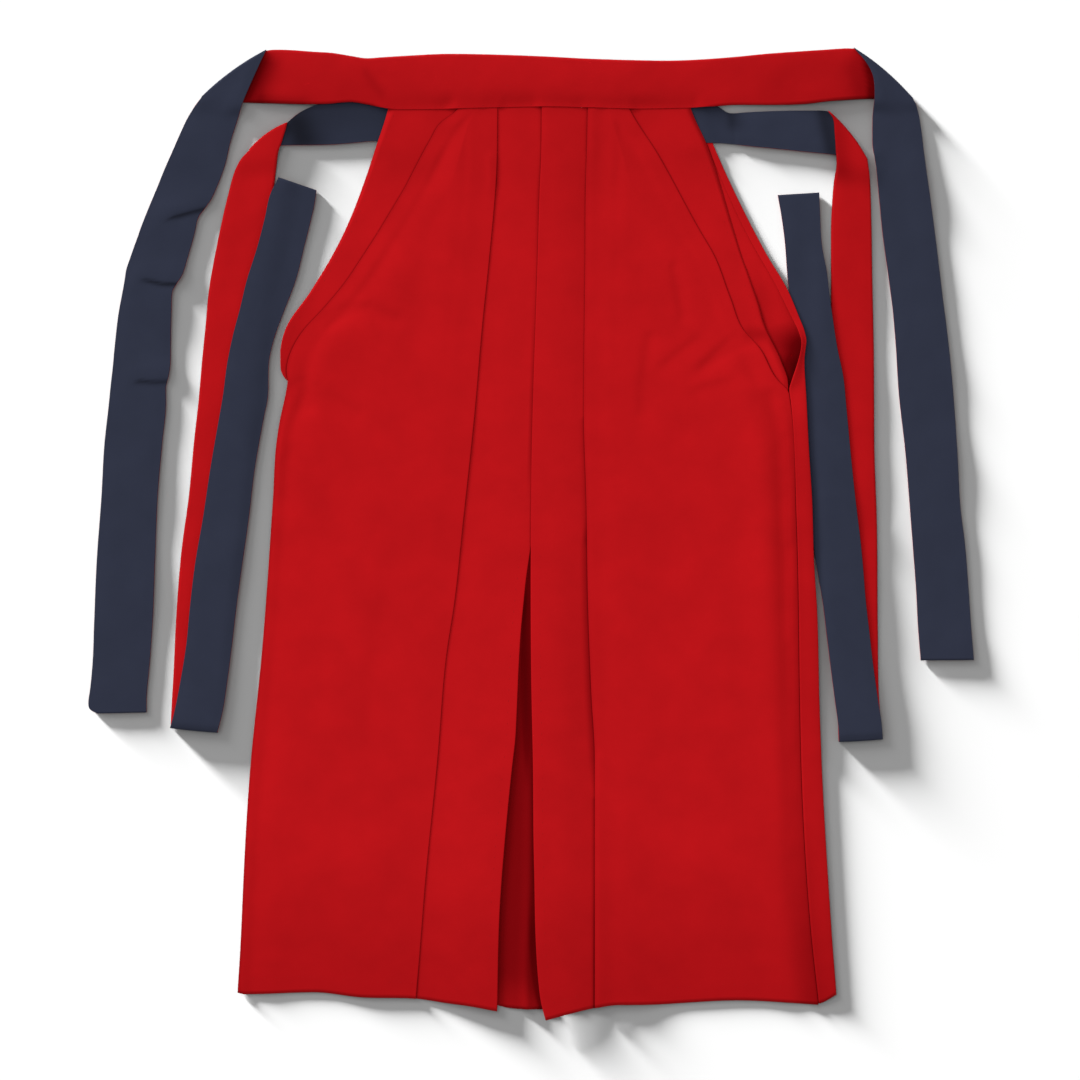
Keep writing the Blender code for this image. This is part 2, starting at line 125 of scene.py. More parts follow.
def spread(heights, reach):
    """Widen the map by reach, then blur it by no more than that."""
    cells = max(1, round(reach / CELL))
    steps = range(-cells, cells + 1)
    weights = [cells + 1 - abs(step) for step in steps]
    for axis in (0, 1):
        heights = np.maximum.reduce([np.roll(heights, step, axis) for step in steps])
    for axis in (0, 1):
        shifted = [w * np.roll(heights, step, axis) for w, step in zip(weights, steps)]
        heights = sum(shifted) / sum(weights)
    return heights


def read(heights, x, y):
    """Height of the map at points of the board, straight between its cells."""
    column = np.clip(x / CELL, 0, CELLS - 1.001)
    row = np.clip(y / CELL, 0, CELLS - 1.001)
    c, r = column.astype(int), row.astype(int)
    upper = mix(heights[r, c], heights[r, c + 1], column - c)
    lower = mix(heights[r + 1, c], heights[r + 1, c + 1], column - c)
    return mix(upper, lower, row - r)


def add_to_pile(x, y, top):
    """Raise the pile to the top of a grid of cloth."""
    def between(grid, down, across):
        left = mix(grid[:-1, :-1], grid[1:, :-1], down)
        right = mix(grid[:-1, 1:], grid[1:, 1:], down)
        return mix(left, right, across)

    for down in QUARTERS:
        for across in QUARTERS:
            c = np.rint(between(x, down, across) / CELL).astype(int)
            r = np.rint(between(y, down, across) / CELL).astype(int)
            np.maximum.at(pile, (r, c), between(top, down, across))


def lay(x, y, thickness, reach, loft=0.0, window=None, firm=None):
    """Lay a grid of cloth on the pile and give the height of its middle.

    window: the cloth rests only on what lies between these two places across the board.
    firm: where it is under 1, the cloth follows what lies below more closely, as beside a fold
    that has been pressed.
    """
    under = pile
    if window is not None:
        under = np.zeros_like(pile)
        first, last = (int(edge / CELL) for edge in window)
        under[:, first:last] = pile[:, first:last]
    rest = read(spread(under, reach), x, y)
    if firm is not None:
        rest = mix(read(spread(under, PRESSED_REACH), x, y), rest, firm)
    middle = rest + AIR * ease(rest, 0.0, 0.5) + thickness / 2 + loft
    add_to_pile(x, y, middle + thickness / 2)
    return middle


def tell_height(laid):
    print(laid, "laid, pile is", round(float(pile.max()), 1), "mm high")


print("pile:", CELLS, "x", CELLS, "cells of", CELL, "mm")

# %% [markdown]
# ## A piece of cloth
# A layer of cloth is a grid of points. To make it a real solid sheet, each point is pushed half
# the thickness along the surface's normal, up and down, and a rounded rim closes the edge. A
# Solidify modifier could do it, but doing this in numpy keeps one UV map in millimetres of cloth
# on both faces, which the weave follows round every fold.

# %% Build a closed sheet from a grid of points
RIM_BULGE = 0.35  # share of the thickness that the rim stands out


def unit(vectors):
    return vectors / np.maximum(np.linalg.norm(vectors, axis=-1, keepdims=True), 1e-12)


def new_object(name, data):
    made = bpy.data.objects.new(name, data)
    bpy.context.scene.collection.objects.link(made)
    return made


def cloth(name, points, thickness, uv, painted_shade, material):
    """points: rows x columns x 3 in metres. uv in mm of cloth. painted_shade: painted shade, 0
    none to 2 darkest.
    """
    middle = points.reshape(-1, 3)
    count = len(middle)
    normal = unit(np.cross(np.gradient(points, axis=1), np.gradient(points, axis=0)))
    half = (normal * thickness * MM / 2).reshape(-1, 3)
    index = np.arange(count).reshape(points.shape[:2])
    edge = np.concatenate([index[0, :-1], index[:-1, -1], index[-1, :0:-1], index[:0:-1, 0]])
    ahead = np.roll(middle[edge], -1, 0) - np.roll(middle[edge], 1, 0)
    rim = middle[edge] + unit(np.cross(half[edge], ahead)) * thickness * MM * RIM_BULGE

    corners = (index[:-1, :-1], index[:-1, 1:], index[1:, 1:], index[1:, :-1])
    top = np.stack([corner.ravel() for corner in corners], axis=1)
    rim_index = 2 * count + np.arange(len(edge))
    following, rim_following = np.roll(edge, -1), np.roll(rim_index, -1)
    upper = np.stack([edge, rim_index, rim_following, following], axis=1)
    lower = np.stack([edge + count, following + count, rim_following, rim_index], axis=1)
    faces = np.concatenate([top, top[:, ::-1] + count, upper, lower])

    def on_both_faces(values):
        return np.concatenate([values, values, values[edge]])

    mesh = bpy.data.meshes.new(name)
    vertices = np.concatenate([middle + half, middle - half, rim])
    mesh.from_pydata(vertices.tolist(), [], faces.tolist())
    mesh.shade_smooth()
    uv_of_corners = on_both_faces(uv.reshape(-1, 2))[faces.ravel()]
    mesh.uv_layers.new(name="weave").data.foreach_set("uv", uv_of_corners.ravel())
    shade = mesh.attributes.new("painted_shade", "FLOAT", "POINT")
    shade.data.foreach_set("value", on_both_faces(painted_shade.ravel()))
    mesh.materials.append(material)
    area = sum(face.area for face in mesh.polygons) / 2
    print(f"{name}: {2 * len(faces)} triangles, {area:.3f} m2 of cloth")
    return new_object(name, mesh)


# %% [markdown]
# ## Nodes
# A finish and a tool are both trees of nodes. Two helpers build them: one adds a node with its
# settings, and one gives each of its inputs a number, a colour, or the output that feeds it.

# %% Add a node and fill its inputs
def fill(tree, node, inputs):
    for key, value in inputs.items():
        if isinstance(value, bpy.types.NodeSocket):
            tree.links.new(value, node.inputs[key])
        else:
            node.inputs[key].default_value = value


def add(tree, kind, inputs=(), **settings):
    """Add a node and give its outputs."""
    node = tree.nodes.new(kind)
    for key, value in settings.items():
        setattr(node, key, value)
    fill(tree, node, dict(inputs))
    return node.outputs


def new_material(name):
    """A material, its tree of nodes and its shader."""
    material = bpy.data.materials.new(name)
    material.use_nodes = True
    return material, material.node_tree, material.node_tree.nodes["Principled BSDF"]


# %% [markdown]
# ## Twill
# Hakama cloth is a fine twill: slanting ribs about half a millimetre apart, dull, with a faint
# sheen at low angles. Ribs this fine would be wasted as geometry. They are a Wave texture on the
# cloth's own UV map, broken up by a little noise so that they don't look drawn, and they push the
# bump and tint the dye a little. Slow noise makes the dye very slightly uneven. In the pleats and
# beside folds the colour carries painted shade: the "painted_shade" attribute that each piece
# carries leads the colour to a darker one at 1, and on to nearly black at 2.

# %% The two cloths
NEARLY_BLACK = 0.12  # share of the painted shade colour that is left at the darkest
ROUGHER = 0.05  # the yarn makes the roughness rise and fall by this


def twill(name, colour, shade_colour, sheen, roughness, shine):
    material, tree, shader = new_material(name)

    def noise(scale, detail, roughness):
        return add(tree, "ShaderNodeTexNoise", {
            "Vector": uv, "Scale": scale, "Detail": detail, "Roughness": roughness})["Fac"]

    def rescale(value, low, high, start=0.0, end=1.0):
        return add(tree, "ShaderNodeMapRange", {
            "Value": value, "From Min": start, "From Max": end, "To Min": low, "To Max": high})[0]

    def blend(share, first, second):
        return add(tree, "ShaderNodeMix", {0: share, "A": first, "B": (*second, 1.0)},
                   data_type="RGBA")["Result"]

    uv = add(tree, "ShaderNodeUVMap", uv_map="weave")[0]
    slanted = add(tree, "ShaderNodeMapping", {"Vector": uv, "Scale": (1.0, 0.7, 1.0)})[0]
    ribs = add(tree, "ShaderNodeTexWave", {
        "Vector": slanted, "Scale": 0.8, "Distortion": 0.6, "Detail": 1.0, "Detail Scale": 1.5},
        bands_direction="DIAGONAL")["Fac"]
    yarn = noise(1.9, 3.0, 0.6)
    surface = add(tree, "ShaderNodeMix", {0: 0.45, 2: ribs, 3: yarn})[0]
    bump = add(tree, "ShaderNodeBump", {"Strength": 0.5, "Distance": 0.00006, "Height": surface})

    dye = rescale(noise(0.022, 4.0, 0.55), 0.94, 1.05, 0.3, 0.7)
    tone = add(tree, "ShaderNodeMath", {0: dye, 1: rescale(surface, 0.95, 1.04)},
               operation="MULTIPLY")[0]
    in_light = add(tree, "ShaderNodeVectorMath", {0: colour, "Scale": tone}, operation="SCALE")[0]
    # Painted shade: the piece's attribute darkens the colour, to a darker colour at 1 and nearly
    # black at 2.
    painted_shade = add(tree, "ShaderNodeAttribute", attribute_name="painted_shade")["Fac"]
    past_one = add(tree, "ShaderNodeMath", {0: painted_shade, 1: 1.0}, operation="SUBTRACT",
                   use_clamp=True)[0]
    darker = blend(painted_shade, in_light, shade_colour)
    darkest = blend(past_one, darker, [NEARLY_BLACK * part for part in shade_colour])

    fill(tree, shader, {
        "Base Color": darkest, "Normal": bump[0],
        "Roughness": rescale(yarn, roughness - ROUGHER, roughness + ROUGHER),
        "Specular IOR Level": 0.04, "Specular Tint": (*shine, 1.0),
        "Sheen Weight": sheen, "Sheen Roughness": 0.4, "Sheen Tint": (*shine, 1.0)})
    return material


# The second colour of each cloth is its painted shade colour.
red_twill = twill("red_twill", (0.458, 0.0062, 0.0086), shade_colour=(0.125, 0.0004, 0.0016), sheen=0.02,
                  roughness=0.74, shine=(1.0, 0.22, 0.22))
navy_twill = twill("navy_twill", (0.0275, 0.0318, 0.0530), shade_colour=(0.008, 0.0085, 0.013), sheen=0.03,
                   roughness=0.76, shine=(0.6, 0.68, 1.0))
print("cloths:", red_twill.name, navy_twill.name)

# %% [markdown]
# ## Soft creases
# Creases in laid cloth are shallow: a millimetre deep and a few centimetres wide. Noise would put
# them anywhere, so each one is placed as a short chain of points with a height and a
# width, and all of them are summed into one field, which a piece adds to its height. A real
# crease is not even: it drops quickly on one side and recovers slowly on the other, so the width
# grows towards the lower right. The field is kept above zero, so that no crease pushes a layer
# into the one below.

# %% Sum the listed creases
SPREAD_OUT, UNEVEN = 1.6, 0.56  # a crease's width, and its change from side to side


def creases(x, y, table):
    """table: (height, width, points). A negative height is a trough."""
    total = np.zeros(np.broadcast(x, y).shape)
    for height, width, points in table:
        nearest = np.full(total.shape, np.inf)
        lean = np.zeros(total.shape)
        for (x1, y1), (x2, y2) in zip(points, points[1:]):
            long_x, long_y = x2 - x1, y2 - y1
            share = ((x - x1) * long_x + (y - y1) * long_y) / (long_x ** 2 + long_y ** 2)
            share = np.clip(share, 0.0, 1.0)
            off_x, off_y = x - x1 - share * long_x, y - y1 - share * long_y
            apart = np.hypot(off_x, off_y)
            lean = np.where(apart < nearest, (off_x + off_y) / (apart + 1.0), lean)
            nearest = np.minimum(nearest, apart)
        total += height * hump(nearest, 0.0, width * (SPREAD_OUT + UNEVEN * lean))
    return total


def above_zero(field, softness=0.4):
    return (field + np.sqrt(field ** 2 + softness ** 2)) / 2


# %% [markdown]
# ## Layers, folds and grids
# A pleated leg is one cut of cloth in several layers, joined by folds. Folding a flat mesh step
# by step would need every angle. Instead each layer is a grid between two lines down the garment,
# and a fold is a half circle from the end of one layer to the start of the next. A piece's final
# grid is its layers and folds side by side.

# %% Layers of a leg and the folds between them
LEG_CLOTH = 0.4  # thickness, mm
LEG_TOP, LEG_END = 94.0, 1008.0
HEM_ZONE = 110.0  # the rows bend towards the hem's own line over this
LEG_ROWS = np.concatenate([  # closer together beside the side openings' ends
    np.arange(LEG_TOP, 324, 4.0), np.arange(324, 396, 2.4), np.arange(396, LEG_END, 4.0), [LEG_END]
])
FOLD_STEPS = 9


def layer_grid(lines, steps, hem, shorter=0.0):
    """x and y of a layer: lines at each row, and the number of steps between each two lines."""
    columns = [lines[0][:, None]]
    for start, end, count in zip(lines, lines[1:], steps):
        share = np.arange(1, count + 1) / count
        columns.append(start[:, None] + (end - start)[:, None] * share)
    x = np.concatenate(columns, axis=1)
    last = soft_line(hem, x) - shorter - LEG_END
    y = LEG_ROWS[:, None] + last * ease(LEG_ROWS, LEG_END - HEM_ZONE, LEG_END)[:, None] ** 2
    return x, y


def half_turn(before, after, away, radius):
    """Points x steps x 3 of a fold from before to after, which bulges radius mm towards away."""
    turn = np.linspace(-math.pi / 2, math.pi / 2, FOLD_STEPS + 2)[1:-1]
    middle, half = (before + after) / 2, (after - before) / 2
    points = middle[:, None] + half[:, None] * np.sin(turn)[None, :, None]
    bulge = np.broadcast_to(radius, len(points))[:, None] * np.cos(turn) * MM
    points[..., 0] += away[0] * bulge
    points[..., 1] -= away[1] * bulge
    return points


def cloth_lengths(points, axis):
    """Millimetres of cloth along a grid, from its first row or column."""
    steps = np.linalg.norm(np.diff(points, axis=axis), axis=-1) / MM
    start = np.zeros_like(np.take(steps, [0], axis=axis))
    return np.concatenate([start, np.cumsum(steps, axis=axis)], axis=axis)


print("a leg has", len(LEG_ROWS), "rows over", LEG_END - LEG_TOP, "mm")

# %% [markdown]
# ## Lines of the garment
# The centre strips, the main pleats and the slanted side pleats fan out from the waistband, and
# below the side openings the slanted pleats have become the legs' outer edges. A Bezier curve
# could hold each line, but a list is easier to read against a ruler: (down the board, across the
# board), and for a hem (across, down).

# %% Fold lines, edges and hems
CENTRE_LINE = [(88, 541.9), (108, 541.8), (154, 541.3), (196, 539.6), (250, 538), (480, 531.4),
               (541, 531), (1010, 528)]
LEFT_SLIT = [(88, 545.5), (196, 543.6), (250, 541.5), (480, 535.2), (530, 533), (556, 529.3),
             (577, 526.2), (601, 523.7), (629, 521), (664, 518.8), (710, 516.8), (740, 515.2),
             (765, 512.3), (830, 505.8), (907, 499.8), (1010, 497)]
RIGHT_SLIT = CENTRE_LINE[:-1] + [(580, 530.8), (679, 531.4), (760, 533), (865, 534.2), (985, 540),
                                (1008, 545.6)]
LEFT_PLEAT = [(88, 497.8), (110, 497.5), (175, 496.3), (250, 490), (328, 482), (405, 475.4),
              (520, 463.3), (605, 454), (652, 446.8), (760, 437.4), (876, 425.8), (1008, 415.8)]
RIGHT_PLEAT = [(88, 588.2), (138, 587.3), (200, 585.7), (250, 585.5), (411, 584), (500, 586.5),
               (608, 588.3), (695, 591.6), (760, 595), (1008, 594.8)]
LEFT_SIDE = [(88, 463), (104, 461), (111, 456.5), (123, 441), (140, 430.5), (164, 417.5),
             (188, 404.8), (212, 390.5), (236, 376), (260, 360.5), (284, 344.2), (308, 324),
             (332, 302.4), (353, 290.8), (371, 286.9), (381, 287.8), (390, 286.5), (422, 279.8),
             (440, 277), (500, 273), (656, 261.6), (760, 251), (1008, 237.6)]
LEFT_EDGE = [(88, 393), (110, 388), (144, 377), (250, 335), (292, 310), (328, 286), (340, 282.2),
             (353, 280.4), (366, 280.5), (373, 281.8), (378, 284.6), (382, 288), (388, 288.6),
             (400, 286)] + [(y, x + 1.5) for y, x in LEFT_SIDE[-6:]]
RIGHT_SIDE = [(88, 624), (104, 627), (111, 630.3), (151, 655.7), (231, 700), (254, 713.4),
              (298, 730.4), (331, 744.3), (346, 757.8), (382, 779), (390, 787), (400, 789.6),
              (520, 795.7), (717, 799.7), (760, 800.7), (933, 810.7), (1008, 818.4)]
RIGHT_EDGE = [(88, 686), (109, 691), (144, 706.6), (230, 734), (254, 741.3), (275, 748.6),
              (303, 758.3), (325, 764.4), (361, 781), (384, 788.0), (392, 788), (400, 788.4),
              (520, 794.4), (717, 798.4), (760, 799.4), (933, 809.3), (1008, 817)]
BACK_RIGHT_EDGE = [(88, 694), (109, 700), (144, 714), (230, 754.6), (255, 768), (288, 787.4),
                   (317, 799.6), (332, 805.2), (341, 806.9), (350, 805.9), (361, 805),
                   (400, 807), (450, 809.5), (499, 812.5), (561, 814.5), (608, 817.5),
                   (707, 820.4), (760, 822.5), (1008, 837.4)]
WRAP_END = [(88, 688), (109, 693), (144, 707), (230, 745), (288, 777), (317, 791), (332, 798),
            (343, 800.8), (352, 799.8), (366, 796), (380, 791.4), (390, 788.9), (400, 790.2),
            (520, 796.2), (717, 800.2), (760, 801.2), (933, 811.2), (1008, 818.9)]
LEFT_HEM = [(236, 992.4), (245, 994.5), (314, 992.6), (360, 997.5), (416, 999), (447, 1003.4),
            (466, 1005.7), (500, 1011.8)]
RIGHT_HEM = [(538, 1022), (546, 1020), (570, 1013.5), (595, 1008), (620, 1005), (641, 1005),
             (737, 1000.7), (819, 1005)]
BACK_HEM = [(236, 989), (416, 996), (499, 1006), (510, 1008.5), (541, 1009.5), (594, 1005),
            (737, 997.5), (817, 1004), (838, 994)]
OPENING_BASE = 386.0  # the side openings end here
SIDES = {
    "left": {"outward": -1, "slit": LEFT_SLIT, "pleat": LEFT_PLEAT, "side": LEFT_SIDE,
             "edge": LEFT_EDGE, "hem": LEFT_HEM},
    "right": {"outward": +1, "slit": RIGHT_SLIT, "pleat": RIGHT_PLEAT, "side": RIGHT_SIDE,
              "edge": RIGHT_EDGE, "hem": RIGHT_HEM},
}


def rows_of(line):
    return soft_line(line, LEG_ROWS)


down_leg = ease(LEG_ROWS, 108, LEG_END)
RETURN_WIDTH = mix(12.0, 30.0, down_leg)  # turned-under edges along the centre and the slit
PLEAT_DEPTH = mix(25.0, 35.0, down_leg)
SIDE_DEPTH = mix(12.0, 4.0, ease(LEG_ROWS, OPENING_BASE - 20, OPENING_BASE + 50))
print("hems are", round(LEFT_HEM[-1][0] - LEFT_HEM[0][0]), "and",
      round(RIGHT_HEM[-1][0] - RIGHT_HEM[0][0]), "mm wide")

# %% [markdown]
# ## Strips: waistbands and ties
# A waistband and its two ties are one long strip with a red face and a navy lining. A curve with
# a width could make it, but its two edges don't run parallel where it bends, so it is described
# by rungs: pairs of points (x, y, x, y) on its waist-side and leg-side edges. Where the strip
# folds over itself it turns about a line across it, the lower cloth going round the outside of
# the fold and the upper cloth round the inside. Each run starts at the fold where the one before
# it ends.

# %% Rungs of the front strip, from the left tie's end to the right tie's end
FRONT_LEFT_HANG = [
    (146.3, 712.5, 97.0, 713.6), (146.2, 708, 90.0, 709.5), (146.2, 700, 88.3, 703),
    (147, 688, 90.0, 690), (149, 668, 92.2, 668),
    (152.4, 622, 94.2, 622), (155, 555, 97, 556), (157.5, 495, 101.5, 496),
    (162, 443, 104.5, 443), (165.8, 402, 108.4, 408), (165.6, 388, 110, 392),
    (168.5, 376, 111, 382), (170.2, 364, 112.2, 372), (170.5, 345, 114.5, 348),
    (171.2, 312, 118.5, 314), (172.2, 292, 122.3, 293), (176.0, 284.5, 124.5, 281),
    (181.7, 276, 126, 271), (188, 256, 129.5, 260), (194.5, 233, 134, 247),
    (198.4, 217, 138, 236), (205, 208, 141.5, 226), (211.3, 199, 145, 217),
    (217.5, 185, 149, 207), (224.5, 166, 156.5, 189), (230, 143, 165, 168),
    (236, 124, 173, 150), (243, 103, 180, 134), (251, 84, 187, 119), (259, 66, 193, 109),
    (266, 50, 202, 96.5),
]
FRONT_BAND = [FRONT_LEFT_HANG[-1]] + [
    (276, 49.6, 236, 101.5), (292, 50, 275, 103.2), (312, 51.5, 303, 104.3),
    (333, 53, 329, 103.8), (352, 56.2, 350, 102.2), (367, 58.4, 366, 104.4),
    (385, 57.2, 387, 108.8), (405, 56, 405, 109.8), (451, 54, 451, 109.2),
    (497, 54.8, 497, 108), (542, 56.5, 542, 107.2), (588, 58.8, 588, 108),
    (631, 60.2, 631, 109), (665, 60.8, 665, 108.6), (690, 60.2, 690, 108),
    (714, 58.7, 714, 106.4), (738, 56.6, 738, 104.8), (765, 53.8, 768, 104.9),
    (800, 51.2, 803, 104.2), (825, 49.6, 838, 100.6), (842, 48.4, 874, 98.5),
    (854, 48, 913, 98.5),
]
FRONT_RIGHT_HANG = [FRONT_BAND[-1]] + [
    (865.5, 62, 916, 105), (873, 78, 919, 116), (874.2, 96, 921.4, 131),
    (872.8, 118, 923.6, 150), (872.6, 141, 926.5, 172), (876, 167, 930, 197),
    (879.5, 200, 934, 226), (883, 235, 938, 258), (888.5, 275, 942, 292),
    (893, 310, 946.5, 327), (896, 345, 950, 358), (899, 392, 953.8, 400),
    (905.4, 450, 957.5, 456), (909.5, 500, 960.3, 506), (913, 545, 965, 545),
    (916.3, 588, 968.3, 585), (918.5, 630, 971.3, 630), (921, 660.5, 973.8, 660),
]

# %% Rungs of the back strip, from the left tie's end to the right tie's end
BACK_LEFT_RETURN = [
    (316.2, 190, 279, 177.7), (314.5, 203, 270.5, 195), (311, 219, 265.5, 217),
    (304.5, 245, 258, 246), (295, 282, 247, 281), (283.5, 312, 240.5, 308),
    (273.5, 340, 232.7, 338), (268.8, 362, 228, 361), (267.5, 398, 223, 398),
    (264, 416, 219.5, 418), (254.5, 470, 210.5, 470), (249, 516, 203.3, 518),
    (243, 559, 195.8, 562), (236, 610, 190, 610), (232, 645, 186.6, 645),
    (227.5, 680, 181, 680), (222, 715, 174, 715), (217.5, 732.5, 170.5, 728),
]
BACK_LEFT_HANG = [BACK_LEFT_RETURN[-1]] + [
    (216, 715, 171.3, 712), (216, 683, 173, 683),
    (219, 610, 176.6, 610), (223.5, 550, 181.5, 550), (230.8, 496, 188.8, 496),
    (235.6, 445, 193.6, 445), (240.6, 400, 198.6, 400), (244, 361, 202, 361),
    (247.4, 327, 205.4, 327), (251.5, 290, 208.9, 290), (259, 255, 214, 260),
    (266.5, 222, 219.8, 231), (273.5, 188, 226, 203), (276.3, 166, 229.5, 189),
    (278.3, 152, 232.6, 177), (281.8, 142, 236.8, 166), (285.3, 130, 242.5, 157),
    (287, 122.5, 249, 150),
]
BACK_BAND = [BACK_LEFT_HANG[-1]] + [
    (294, 116.5, 266, 147.6), (303, 110.6, 286, 145), (316, 105, 309, 144.8),
    (334, 102, 332, 144.2), (354, 101, 354, 142.6), (377, 100, 377, 140.8), (395, 99, 395, 141),
    (481, 100, 481, 142), (591, 100.5, 591, 142.5), (680, 100.5, 680, 142.5),
    (700, 101.8, 702, 142.6), (716, 105.4, 717, 142.7), (731, 113.2, 732, 143.8),
    (752, 112, 753, 146.2), (777, 111, 778, 148.6), (802, 110.6, 802, 151.2),
    (819, 110.6, 834, 154.6), (828.5, 111, 867.5, 160),
]
BACK_RIGHT_HANG = [BACK_BAND[-1]] + [
    (832.8, 118, 869.3, 172), (834.6, 134, 870.3, 186),
    (835.8, 152, 870.9, 203), (836.6, 165, 871.2, 217), (834.3, 181, 871.6, 232),
    (832.3, 205, 871.9, 250), (831.3, 235, 872.2, 270), (831.3, 288, 873, 310),
    (831.5, 348, 873.8, 350), (832.2, 400, 874.1, 400), (833, 450, 874.4, 450),
    (834.8, 519, 876.8, 519), (836, 628, 877.8, 628), (837.5, 700, 879.2, 700),
    (839, 741.8, 882.5, 739.2),
]
BACK_RIGHT_RETURN = [BACK_RIGHT_HANG[-1]] + [
    (838.3, 727, 881.4, 725), (834.8, 700, 877.7, 700),
    (831.3, 673, 873.7, 672), (826.3, 632, 869, 632), (822.4, 600, 865.3, 600),
    (817.5, 572, 862.9, 570), (814, 549, 861, 549), (809.5, 500, 855, 499),
    (804.5, 450, 850, 450), (800.5, 407, 846, 407), (797, 377, 843, 377),
    (792.5, 348, 837, 348), (790.5, 318, 832.3, 318), (789, 292, 829.3, 296),
    (787.4, 272.6, 827, 275), (784.8, 239, 821.5, 243), (781.5, 215, 820, 216),
    (778, 195, 819, 192.5),
]

# %% A run of a strip between two folds
STRIP_CLOTH = 0.5  # thickness of each of its two cloths, mm
ROW_STEP = 2.3
FOLD_RADIUS = 1.9  # of the outer cloth at a tie's fold, mm
CORNER_RADIUS = 0.5  # of the same at the ends of the fold
CORNER_BOW, END_BOW = 3.0, 0.4  # bulge of a fold line at the waist, and at a tie's end
BOW_FADE = 16.0  # a fold line's bulge dies out this far along the strip
ACROSS = np.array([0, .01, .028, .06, .11, .18, .27, .38, .5, .62, .73, .82, .89, .94, .972, .99,
                   1.0])
FOLD_SHAPE = 1 - (2 * ACROSS - 1) ** 6  # 0 at the ends of a fold, 1 along most of it


def away_from(rungs, end, inner):
    """Unit vector across a fold line, away from the strip that runs into it."""
    x1, y1, x2, y2 = rungs[end]
    into = (rungs[end] - rungs[inner]).reshape(2, 2).sum(axis=0)
    normal = np.array([y2 - y1, x1 - x2]) / math.hypot(x2 - x1, y2 - y1)
    return normal if normal @ into > 0 else -normal


def strip_run(rungs, fold_at_start, fold_at_end):
    """A run's grid of x and y, and the mm of cloth along it. A fold is given by its bow."""
    rungs = np.array(rungs, dtype=float)
    middles = (rungs[:, :2] + rungs[:, 2:]) / 2
    along = np.concatenate([[0], np.cumsum(np.linalg.norm(np.diff(middles, axis=0), axis=1))])
    where = np.linspace(0, along[-1], max(2, round(along[-1] / ROW_STEP)) + 1)
    edges = np.stack([soft_line(list(zip(along, rungs[:, k])), where) for k in range(4)], axis=1)
    x = mix(edges[:, 0:1], edges[:, 2:3], ACROSS)
    y = mix(edges[:, 1:2], edges[:, 3:4], ACROSS)
    back = CORNER_RADIUS + (FOLD_RADIUS - CORNER_RADIUS) * FOLD_SHAPE
    for bow, end, inner in ((fold_at_start, 0, 1), (fold_at_end, -1, -2)):
        if bow is not None:
            away = away_from(rungs, end, inner)
            fade = ease(abs(where - where[end]), BOW_FADE, 0.0)[:, None]
            move = bow * 4 * ACROSS * (1 - ACROSS) - back
            x += fade * move * away[0]
            y += fade * move * away[1]
    return {"x": x, "y": y, "where": where, "rungs": rungs,
            "low": np.zeros_like(x), "high": np.zeros_like(x)}


def pillow(height):
    """Loft of a strip's upper cloth: nothing at the sewn edges, full in the middle."""
    return height * ease(np.minimum(ACROSS, 1 - ACROSS), 0.0, 0.22)


def lay_run(run, cloth_of_pair, reach, loft, rows=slice(None), window=None, firm=None):
    """Lay the low or the high cloth of a run, or some rows of it, on the pile."""
    run[cloth_of_pair][rows] = lay(run["x"][rows], run["y"][rows], STRIP_CLOTH, reach, loft[rows],
                                   window, firm)


back_left_return = strip_run(BACK_LEFT_RETURN, None, END_BOW)
back_left_hang = strip_run(BACK_LEFT_HANG, END_BOW, CORNER_BOW)
back_band = strip_run(BACK_BAND, CORNER_BOW, CORNER_BOW)
back_right_hang = strip_run(BACK_RIGHT_HANG, CORNER_BOW, END_BOW)
back_right_return = strip_run(BACK_RIGHT_RETURN, END_BOW, None)
front_left_hang = strip_run(FRONT_LEFT_HANG, None, CORNER_BOW)
front_band = strip_run(FRONT_BAND, CORNER_BOW, CORNER_BOW)
front_right_hang = strip_run(FRONT_RIGHT_HANG, CORNER_BOW, None)
STRIPS = {
    "front": [front_left_hang, front_band, front_right_hang],
    "back": [back_left_return, back_left_hang, back_band, back_right_hang, back_right_return],
}
for end, runs in STRIPS.items():
    print(end, "strip:", round(sum(run["where"][-1] for run in runs)), "mm long")

# %% [markdown]
# ## Undulation of the ties
# Long ties never lie dead flat. Each run gets a slow, uneven wave along its length, made of three
# sine waves that don't repeat together, and a few short buckles where its edge is nicked. A noise
# texture would do, but it has no say over which way the wave tilts. The seeds are fixed numbers,
# so the result repeats.

# %% Slow waves along a run
WAVE_LENGTHS = (310.0, 170.0, 95.0)
TILT_LENGTH, TILT = 240.0, 0.35


def waves(run, height, seed):
    """A smooth, uneven loft along a run, at least zero."""
    random = np.random.default_rng(seed)

    def wave(length):
        return np.sin(run["where"] / length * 2 * math.pi + random.uniform(0, 6.28))

    total = sum(wave(length) / 3 for length in WAVE_LENGTHS)
    across = 1 + TILT * wave(TILT_LENGTH)[:, None] * (2 * ACROSS - 1)
    return height * above_zero(0.5 + total)[:, None] * across


